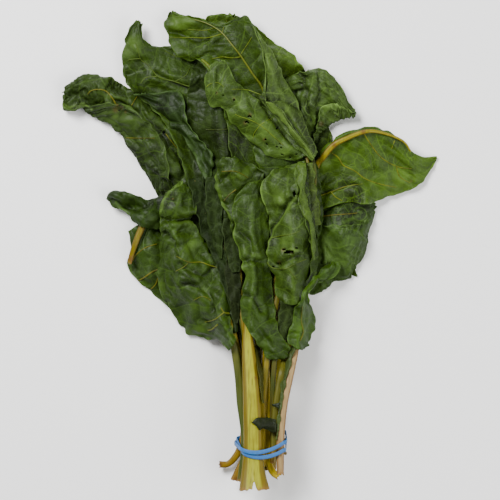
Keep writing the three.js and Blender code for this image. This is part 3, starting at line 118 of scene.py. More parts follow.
BLADES = {
    "back": BladePlan(tone=Tone.DEEP, steps=15, rows=(
        (246, 282, 262, 282, 279, 282), (222, 225, 260, 224, 302, 228), (206, 165, 256, 165, 324, 170),
        (200, 110, 252, 112, 332, 138), (198, 70, 248, 78, 310, 88), (200, 42, 240, 48, 300, 63),
        (204, 27, 234, 32, 272, 41), (206, 18, 224, 17, 245, 20), (212, 15.5, 222, 14, 234, 15.5),
    )),
    "crumpled": BladePlan(tone=Tone.MID, steps=15, flap=Side.RIGHT, rows=(
        (288, 190, 293, 192, 298, 194, 297, 193.8), (284, 150, 297, 152, 310, 156, 308, 155.5),
        (282, 112, 300, 120, 318, 134, 315, 131), (283, 84, 303, 99, 327, 126, 320, 112),
        (300, 72, 318, 92, 334, 121.5, 326, 106), (320, 71, 331, 92, 341, 118.5, 334, 105),
        (336, 80, 339, 99, 348, 116.5, 342, 107), (347, 103, 350, 109, 353, 115.8, 350, 111),
        (354, 110, 355, 112.5, 355.4, 115.3, 355, 113),
    )),
    "shoulder": BladePlan(tone=Tone.DARK, steps=15, flap=Side.RIGHT, rows=(
        (284, 212, 287, 250, 290, 287, 290, 285), (300, 205, 305, 248, 310, 293, 308, 250),
        (315, 200, 321, 243, 327, 287, 318, 228), (328, 196, 331, 238, 333, 280, 327, 225),
        (340, 194, 344, 235, 348, 278, 337, 226), (352, 194, 353, 230, 354, 268, 347, 225),
        (363, 195, 363, 226, 363, 256, 356, 224), (371, 198, 369, 218, 366.5, 240, 363, 222),
        (376, 204, 375, 208, 373, 214, 374, 209),
    )),
    "corner": BladePlan(tone=Tone.LIT, steps=20, rows=(
        (298, 200, 299, 206, 301, 214, 303, 222), (312, 166, 316, 170, 319, 190, 321, 211),
        (324, 148, 328, 153, 334, 178, 338, 204), (338, 137.5, 342, 142, 350, 172, 353, 202),
        (352, 132, 355, 137, 364, 168, 367, 205), (365, 127, 367, 133, 376, 165, 381, 199),
        (384, 131, 385, 135, 391, 163, 397, 194.5), (402, 140.5, 401, 144, 405, 165, 413, 188.5),
        (411.5, 152, 411, 155, 416, 168, 424, 181), (423, 157.5, 424, 162, 427, 166, 430, 170),
        (436.5, 156, 437, 157, 437, 158.5, 436.5, 160),
    )),
    "farLeft": BladePlan(tone=Tone.MID, steps=22, flap=Side.LEFT, rows=(
        (235, 344, 234, 345, 238, 340, 242, 335), (211, 279, 210, 280, 220, 270, 232, 256),
        (184, 226, 180, 228, 196, 215, 215, 200), (170, 176, 157, 190, 176, 172, 198, 155),
        (165, 146, 142, 165, 161, 143, 181, 120), (150, 124, 128, 143, 146, 122, 161, 102),
        (133, 108, 116, 128, 131, 108, 142, 92), (115, 103.5, 104, 119, 116, 100, 126, 87),
        (94, 106, 90, 115, 101, 95, 112, 78.5), (83, 106.5, 81.5, 107.5, 89, 90, 97, 75),
        (73, 110, 72.5, 111, 77, 92, 83, 74.5), (64, 105.5, 63.4, 106, 66, 97, 67, 86),
        (65, 97, 64.6, 97, 64.2, 94, 63.6, 91),
    )),
    "lowLeft": BladePlan(tone=Tone.MID, steps=15, rows=(
        (214, 334, 219, 326, 223, 318), (184, 318, 194, 302, 205, 285), (160, 300, 177, 277, 195, 255),
        (146, 286, 162, 264, 180, 242), (134, 277.5, 150, 253, 170, 230), (127.5, 264, 143, 243, 162, 223),
        (131, 247, 142, 234, 153, 221), (128, 231, 135, 227, 145, 220),
    )),
    "leftTip": BladePlan(tone=Tone.DEEP, steps=13, rows=(
        (190, 226, 187, 212, 184, 199), (166, 227, 164, 211, 162, 196), (153, 229, 152, 213, 151, 199),
        (140, 225, 140, 211, 141, 197.5), (130, 216, 130, 205, 131, 194), (119, 209, 120, 199, 121, 190.2),
        (112, 203.5, 112, 198, 113, 192.5), (108, 200.5, 108, 199, 109, 197.5),
    )),
    "horn": BladePlan(tone=Tone.MID, steps=20, rows=(
        (228, 328, 236, 327, 244, 326), (206, 250, 226, 246, 246, 240), (187, 180, 214, 170, 240, 163),
        (166, 126, 206, 112, 240, 104), (142, 99, 181, 82, 222, 68), (128, 87, 156, 72, 188, 50),
        (122.6, 68, 146, 60, 169, 47), (124, 48, 139, 50, 154, 46), (128, 36, 136, 40, 144.5, 40.5),
        (132.5, 26.5, 137, 30, 142, 33), (137, 22, 139.5, 21.8, 143, 24.6),
    )),
    "middle": BladePlan(tone=Tone.DARK, steps=14, rows=(
        (229, 334, 236, 332, 244, 330), (214, 262, 231, 256, 248, 250), (200, 200, 227, 195, 254, 190),
        (190, 150, 222, 145, 256, 140), (187, 110, 218, 105, 250, 100), (190, 80, 212, 75, 236, 68),
        (194, 62, 205, 60, 220, 52), (197, 50, 201, 49, 207, 47),
    )),
    "darkFold": BladePlan(tone=Tone.DARK, steps=16, rows=(
        (203.5, 177, 207.5, 180, 211.5, 177), (199, 165, 206, 167, 213.6, 167),
        (192, 151, 202, 153, 213, 155), (184, 139, 193, 141, 203, 143), (174, 129, 183, 127, 193, 130),
        (167, 120, 176, 115, 187, 119), (158, 111, 169, 104, 184.5, 102), (148, 103, 161, 98, 180, 91.4),
        (139, 97, 150, 95.6, 163, 92), (134, 94.6, 139, 94.8, 147, 94),
    )),
    "leftFront": BladePlan(tone=Tone.MID, steps=24, rows=(
        (230, 350, 233, 345, 236, 339), (219, 340, 225, 331, 230, 318), (203, 339, 214, 322, 229.5, 304),
        (187, 331.5, 202, 309, 226, 288), (177.5, 320, 192, 293, 223, 272), (170, 306, 183, 280, 215, 259),
        (160, 292, 177, 266, 209, 246), (157.5, 276, 173, 252, 203, 237), (160, 258, 172, 240, 197, 228),
        (161.5, 240, 174, 228, 192, 220), (161, 228, 177, 219, 195, 217), (159.5, 213, 177, 210, 196, 208),
        (164, 197, 178, 196, 192.5, 196), (175, 187, 181, 185.5, 187, 187),
        (181, 182.6, 182.2, 182, 184, 182.6),
    )),
    "crown": BladePlan(tone=Tone.LIT, steps=24, rows=(
        (252, 330, 262, 330, 270, 330), (243, 240, 265, 236, 286, 230), (232, 160, 268, 158, 292, 152),
        (224, 114, 262, 94, 278, 92), (214, 87, 252, 74, 272, 62), (205, 68, 241, 57, 263, 42),
        (198, 61.5, 232, 46, 253, 25), (189, 62.4, 226, 38.5, 244.5, 15.6), (180, 59, 221, 33, 233, 22),
        (171.5, 47, 214, 28, 222, 26.5), (168, 35.5, 206, 25.5, 207.5, 24), (165, 25, 190, 20.5, 197, 18),
        (168, 15, 177, 15, 183, 17), (170.5, 12, 172.5, 11.8, 175, 13),
    )),
    "under": BladePlan(tone=Tone.MID, steps=14, flap=Side.RIGHT, rows=(
        (278, 262, 294, 262, 312, 258, 311, 258), (272, 236, 294, 238, 318, 236, 316, 236),
        (268, 218, 294, 220, 321.5, 221, 315, 222), (265, 204, 293, 205, 322, 206, 313, 206),
        (263, 190, 290, 190, 319.5, 191, 311, 192), (262, 176, 288, 176, 317, 176, 308, 177),
        (257, 164, 285, 164, 314, 164, 306, 165), (253, 152, 280, 153, 310, 157, 306, 158),
        (254, 143, 270, 142, 290, 146, 288, 147),
    )),
    "pierced": BladePlan(tone=Tone.PALE, steps=20, rows=(
        (301, 157.5, 307, 157, 312, 157), (286, 160.4, 295, 152, 304, 146), (269, 156, 282, 144, 294, 133),
        (252, 142.6, 268, 131, 284, 121), (240, 132, 256, 122, 271, 113), (229, 118.5, 244, 111, 260, 104),
        (226.5, 111.5, 239, 103, 252, 96), (218, 107.5, 230, 96, 243, 88), (208, 105, 220, 90, 234.5, 80),
        (206, 88, 217, 79, 230, 70), (207.5, 73, 215, 68, 225.5, 62.6), (215.5, 65.4, 219, 63, 222, 61),
    )),
    "paleFlap": BladePlan(tone=Tone.PALE, steps=20, flap=Side.LEFT, rows=(
        (314.4, 157, 313, 160, 315, 157, 317, 153), (308, 148, 304, 154, 308, 147, 312, 141),
        (301, 137, 296, 143, 300, 135, 306, 130), (293, 128, 287, 132, 293, 124, 302, 118),
        (286, 118, 279, 122, 288, 113, 298, 104), (278, 108, 271, 112, 280, 101, 291, 91),
        (267, 104, 262, 101, 273, 90, 284, 79), (266, 85, 265, 85, 271, 75, 278, 66),
        (265.4, 66, 265, 66, 268, 60, 272, 54), (260.4, 44, 260, 44, 262, 43.5, 264, 42.5),
        (253.2, 28.4, 253, 28.2, 253.6, 28.1, 254.2, 28),
    )),
    "curl": BladePlan(tone=Tone.MID, steps=14, rows=(
        (233, 238, 241, 237, 250, 236), (229, 219, 240, 214, 257, 210), (220.5, 203, 236, 197, 262, 192),
        (216, 189, 234, 182, 264, 177), (215.6, 175, 232, 170, 257, 167.6),
        (218, 163.5, 231, 161.5, 245, 160.5), (224, 158.8, 230, 157.6, 237, 158.6),
    )),
    "centre": BladePlan(tone=Tone.MID, steps=26, rows=(
        (274, 358, 281, 358.5, 288, 355.5), (266, 354, 275, 350, 288, 345),
        (254.5, 340, 267, 335, 279.5, 333), (245, 323.5, 260, 321, 276, 319),
        (240.5, 309, 257, 306, 274, 304), (242, 291, 256, 289, 272, 288), (244.6, 273, 256, 271, 270, 271),
        (240, 257, 253, 255, 268, 255), (235, 239, 251, 238, 268, 238), (234, 223, 251, 222, 268.5, 221),
        (233, 207, 250, 205, 267, 204), (237.5, 195, 251, 191, 266, 188), (246, 185, 254, 182, 263, 180),
    )),
    "rightCentre": BladePlan(tone=Tone.LIT, steps=24, flap=Side.RIGHT, rows=(
        (279, 300, 291, 304.5, 303, 302, 302.4, 301), (274, 290, 290, 291, 306.5, 289, 305, 289),
        (274, 276, 292, 276, 311.5, 277, 308, 276), (268, 262, 291, 262, 316.4, 264, 311, 262),
        (268, 246, 291, 246, 315.8, 247, 310, 247), (269, 230, 291, 230, 314, 230, 307, 230),
        (268, 214, 289, 213, 311.5, 213, 301, 213), (262, 200, 284, 198, 308.5, 198, 297, 198),
        (261, 186, 282, 184, 307, 184, 295.6, 184), (267, 176, 284, 173, 306.5, 171, 294.4, 172),
        (280, 168.4, 291, 166, 302, 162.6, 297, 163.6),
    )),
    "lowRight": BladePlan(tone=Tone.LIT, steps=20, rows=(
        (294, 346, 299.5, 349, 305, 347.6), (286.5, 339, 298, 340, 309.8, 341),
        (288, 331.6, 300, 331, 312.5, 331), (292.6, 322, 303, 321, 316, 320.6),
        (293, 313, 303, 311, 314, 311), (297, 304, 302.6, 302, 309, 302),
        (301.6, 296, 304.6, 295, 307.8, 294), (304, 288.6, 308, 288, 312, 288),
        (309, 281.6, 315, 281, 321, 281), (317, 274, 325, 274, 334, 276),
        (321, 267.6, 330, 267, 338.6, 265), (327, 264, 331, 262.8, 335.6, 261.6),
    )),
    "scrapLong": BladePlan(tone=Tone.DARK, steps=8, rows=(
        (251, 420.4, 251.4, 421, 251.6, 421.6), (256, 418.4, 256.6, 421.8, 257, 425),
        (265, 415.8, 265, 422.5, 264, 429.4), (276, 416.6, 276, 422.6, 275.6, 429),
    )),
    "scrapShort": BladePlan(tone=Tone.DARK, steps=6, rows=(
        (272, 403.6, 272.2, 404.2, 272.6, 404.8), (276, 401.8, 276, 404.4, 275.6, 407),
        (279.4, 401, 279, 404.6, 278.4, 408),
    )),
}

STALKS = {
    "back": StalkPlan(Tint.OLIVE, path=(
        254, 471, 254, 440, 255, 400, 258, 350, 260, 300, 258, 235, 254, 165, 250, 110, 243, 60, 232, 32,
    ), widths=(7.4, 7.4, 7.4, 7, 6.4, 5.5, 4, 3, 2, 1.4)),
    "crumpled": StalkPlan(Tint.YELLOW, path=(
        263, 468, 263, 455, 263, 434, 265, 400, 274, 350, 284, 300, 292, 240, 295, 190, 300, 145, 312, 112,
        330, 98,
    ), widths=(6, 6, 6.5, 6.5, 6, 5.5, 5, 4, 3, 2, 1.4)),
    "shoulder": StalkPlan(Tint.OLIVE, path=(
        283.2, 454.5, 280, 444, 280, 405, 284, 360, 290, 315, 300, 270, 318, 245, 340, 225, 358, 216,
    ), widths=(7.4, 7.4, 7.4, 7, 6, 5, 4, 2.6, 1.4)),
    "corner": StalkPlan(Tint.YELLOW, path=(
        272, 468, 272, 440, 274, 400, 281, 350, 290, 300, 298, 250, 306, 205, 316, 167.5, 323, 157.5,
        333.5, 145.5, 348, 138, 362, 132.8, 373, 131.8, 386, 134.6, 398, 139.2, 405, 144, 410, 152,
    ), widths=(7.4, 7.4, 7.4, 7.2, 7, 6.6, 6.2, 5.6, 5.4, 5, 4.4, 4, 3.2, 2.6, 2.2, 1.8, 1.4), depth=0.8),
    "farLeft": StalkPlan(Tint.YELLOW, path=(
        219.5, 464, 228, 463.6, 235, 457, 240.6, 447, 244, 432, 245, 400, 242, 365, 234, 332, 216, 280,
        194, 220, 174, 172, 155, 135, 131, 108, 112, 99, 95, 91,
    ), widths=(6, 5.4, 6, 6.5, 6.5, 6.5, 6, 5.5, 5, 4.5, 4, 3.2, 2.4, 1.8, 1.4)),
    "lowLeft": StalkPlan(Tint.YELLOW, path=(
        234, 479.5, 239.5, 468, 246, 453, 248.5, 432, 249, 400, 246, 370, 236, 345, 216, 325, 192, 300,
        168, 275, 150, 260,
    ), widths=(6.5, 6.5, 6.5, 6.5, 6.5, 6, 5.5, 5, 4, 3, 2)),
    "leftTip": StalkPlan(Tint.YELLOW, path=(
        129.5, 263.5, 133, 251, 138, 237, 143.5, 223, 143, 213, 136, 206, 126, 201, 115, 198,
    ), widths=(4, 4.6, 5.4, 5.6, 4.6, 3, 2, 1.4)),
    "horn": StalkPlan(Tint.OLIVE, path=(
        257.5, 474, 257.5, 440, 255.5, 400, 249, 365, 241, 325, 232, 250, 218, 172, 208, 112, 198, 89,
        175, 82, 156, 75, 148, 65, 139, 50,
    ), widths=(7, 7, 7, 6.6, 6, 5, 4, 3, 2.6, 2.2, 1.8, 1.5, 1.2)),
    "middle": StalkPlan(Tint.OLIVE, path=(
        251.5, 468, 251.5, 440, 250, 410, 246, 385, 241, 362, 235, 336, 230.5, 312, 229, 290, 229, 240,
        227, 190, 222, 140, 218, 103, 212, 69.5, 202, 60.5, 199, 54,
    ), widths=(5, 5, 5, 4.8, 4.8, 4.8, 4.6, 4.4, 4.2, 4, 3.8, 3.4, 3, 2.6, 1.6)),
    "darkFold": StalkPlan(Tint.GREEN, path=(
        249, 466, 249, 430, 249, 385, 244, 335, 228, 262, 214, 212, 207, 182, 200, 154, 184, 128, 170, 108,
        155, 98,
    ), widths=(4, 4, 4, 4, 3.6, 3.2, 3, 2.6, 2, 1.6, 1.2)),
    "leftFront": StalkPlan(Tint.GREEN, path=(
        240.5, 480, 244.5, 452, 244.5, 430, 241, 402, 239, 376, 235.5, 353, 232, 340, 222, 316, 205, 290,
        186, 264, 176, 240, 176, 215, 180, 196,
    ), widths=(6, 7, 7, 7.5, 7.5, 7, 6, 5, 4, 3, 2.4, 2, 1.4), depth=0.75),
    "crown": StalkPlan(Tint.OLIVE, path=(
        266.5, 469, 266.5, 440, 266, 400, 265, 350, 265, 300, 269, 240, 271, 180, 270, 125, 263, 91,
        252, 74, 241, 57.5, 232, 46, 221, 33, 207, 24.4, 194, 20.5,
    ), widths=(7, 7, 7, 6.5, 6, 5, 4.4, 3.6, 3, 2.6, 2.3, 2, 1.7, 1.4, 1.1)),
    "under": StalkPlan(Tint.YELLOW, path=(
        278.5, 475, 272.5, 470.5, 268.5, 460, 267.2, 440, 267, 410, 266.5, 380, 265.5, 355, 268, 320,
        276, 280, 290, 240, 294, 210, 288, 175, 280, 155,
    ), widths=(6, 6.2, 6, 6, 6.2, 6, 5.6, 5, 4.4, 3.6, 3, 2.4, 1.6), depth=0.95),
    "pierced": StalkPlan(Tint.GREEN, path=(
        262, 466, 262, 440, 263, 400, 268, 350, 277, 300, 292, 250, 303, 205, 308, 170, 302, 152, 282, 144,
        264, 128, 244, 111, 230, 94,
    ), widths=(6, 6, 6, 5.6, 5, 4.4, 3.8, 3, 2.4, 2, 1.6, 1.4, 1.2)),
    "paleFlap": StalkPlan(Tint.TAN, path=(
        272, 462, 272, 430, 272, 400, 273.5, 370, 277, 340, 284, 300, 296, 255, 308, 215, 315, 178,
        309, 150, 296, 128, 284, 104, 274, 80, 267, 58,
    ), widths=(4, 4, 4.4, 4.6, 4.6, 4.6, 4.2, 3.6, 3, 2.4, 2, 1.7, 1.4, 1.1), depth=0.8),
    "curl": StalkPlan(Tint.YELLOW, path=(
        257, 466, 257, 430, 253, 385, 246, 345, 241, 300, 240, 262, 240, 232, 237, 200, 233, 176,
    ), widths=(4, 4, 4, 4, 4, 3.6, 3, 2, 1.4)),
    "centre": StalkPlan(Tint.CREAM, path=(
        254.2, 487.5, 253.4, 474, 253, 456, 253, 436, 252, 404, 250.8, 380, 249, 358, 247.6, 336, 249, 315,
        252, 290, 252, 240, 251, 205,
    ), widths=(27, 22, 18, 17, 16, 14.6, 12.4, 9.6, 7.6, 6, 4, 2), depth=0.5),
    "rightCentre": StalkPlan(Tint.OLIVE, path=(
        274, 452, 273.8, 430, 274.6, 416, 277, 398, 280.4, 378, 284.6, 360, 289.6, 338, 293, 310, 292, 270,
        291, 235, 288, 200, 287, 178,
    ), widths=(6, 6, 6, 6.6, 6.8, 6.6, 6, 5, 4, 3, 2, 1.4)),
    "lowRight": StalkPlan(Tint.PINK, path=(
        280.2, 472, 279.8, 452, 280.6, 430, 283, 408, 286.4, 390, 291, 370, 295, 352, 299, 332, 303, 308,
        305, 292, 314, 280, 326, 270,
    ), widths=(6, 7, 7, 6.6, 6.4, 6, 5.4, 4.6, 3.6, 2.6, 2, 1.4), depth=0.85),
}


@dataclass(frozen=True)
class BladeLook:
    """What a blade shows: its green, how it blisters and ruffles, veins, rims of painted highlight, patches
    of painted light and shade, and holes.
    """

    green: tuple[int, int, int]
    blister: float = 0.9  # height of the blisters
    blister_size: float = 14.0
    ruffle: float = 1.4
    ruffle_length: float = 24.0
    fold: float = 1.1  # height of the lengthwise folds
    fold_length: float = 21.0
    jag: float = 0.7  # how far the margin wanders
    arch: float = 0.0  # height of the middle over the margins, for rolled leaves
    gloss: float = 1.25
    climb: float = 3.0  # how far it may be lifted by what lies under it
    vein_spacing: float = 20.0
    vein_colour: tuple[int, int, int] = (108, 122, 44)
    veins: tuple[tuple[float, Line], ...] = ()  # half width, places
    # lines along folded edges that get a painted highlight
    highlight_rims: tuple[Line, ...] = ()
    # lines sunk into the blade and darkened with painted shade
    creases: tuple[Line, ...] = ()
    painted_light_and_shade: tuple[tuple[float, float, float, float], ...] = ()  # place, reach, then painted light where above 0 and painted shade where below 0
    rust: tuple[tuple[float, float, float], ...] = ()  # place and half width, in squares
    holes: tuple[tuple[float, float, float, float], ...] = ()  # place and half sizes, in squares


@dataclass(frozen=True)
class StalkLook:
    """What a stalk shows: its colours, how it is ribbed, and its foot."""

    core: tuple[int, int, int]
    flank: tuple[int, int, int]
    core_width: float = 0.5
    greens_from: float = 120.0  # distance from the foot where it turns greener
    ridge: float = 0.03
    ridge_count: int = 9
    channel: float = 0.0  # depth of the groove along the top, as a share of its own depth
    notch: float = 0.0  # depth of the split in the foot
    sides: int = 28
    slim: float = 1.0
    upper: tuple[int, int, int] = (60, 72, 22)
    rust: tuple[tuple[float, float, float], ...] = ()

    def finish(self, name: str) -> "StalkFinish":
        """The finish that these colours make."""
        return StalkFinish(name, self.core, self.flank, self.upper, core_width=self.core_width)


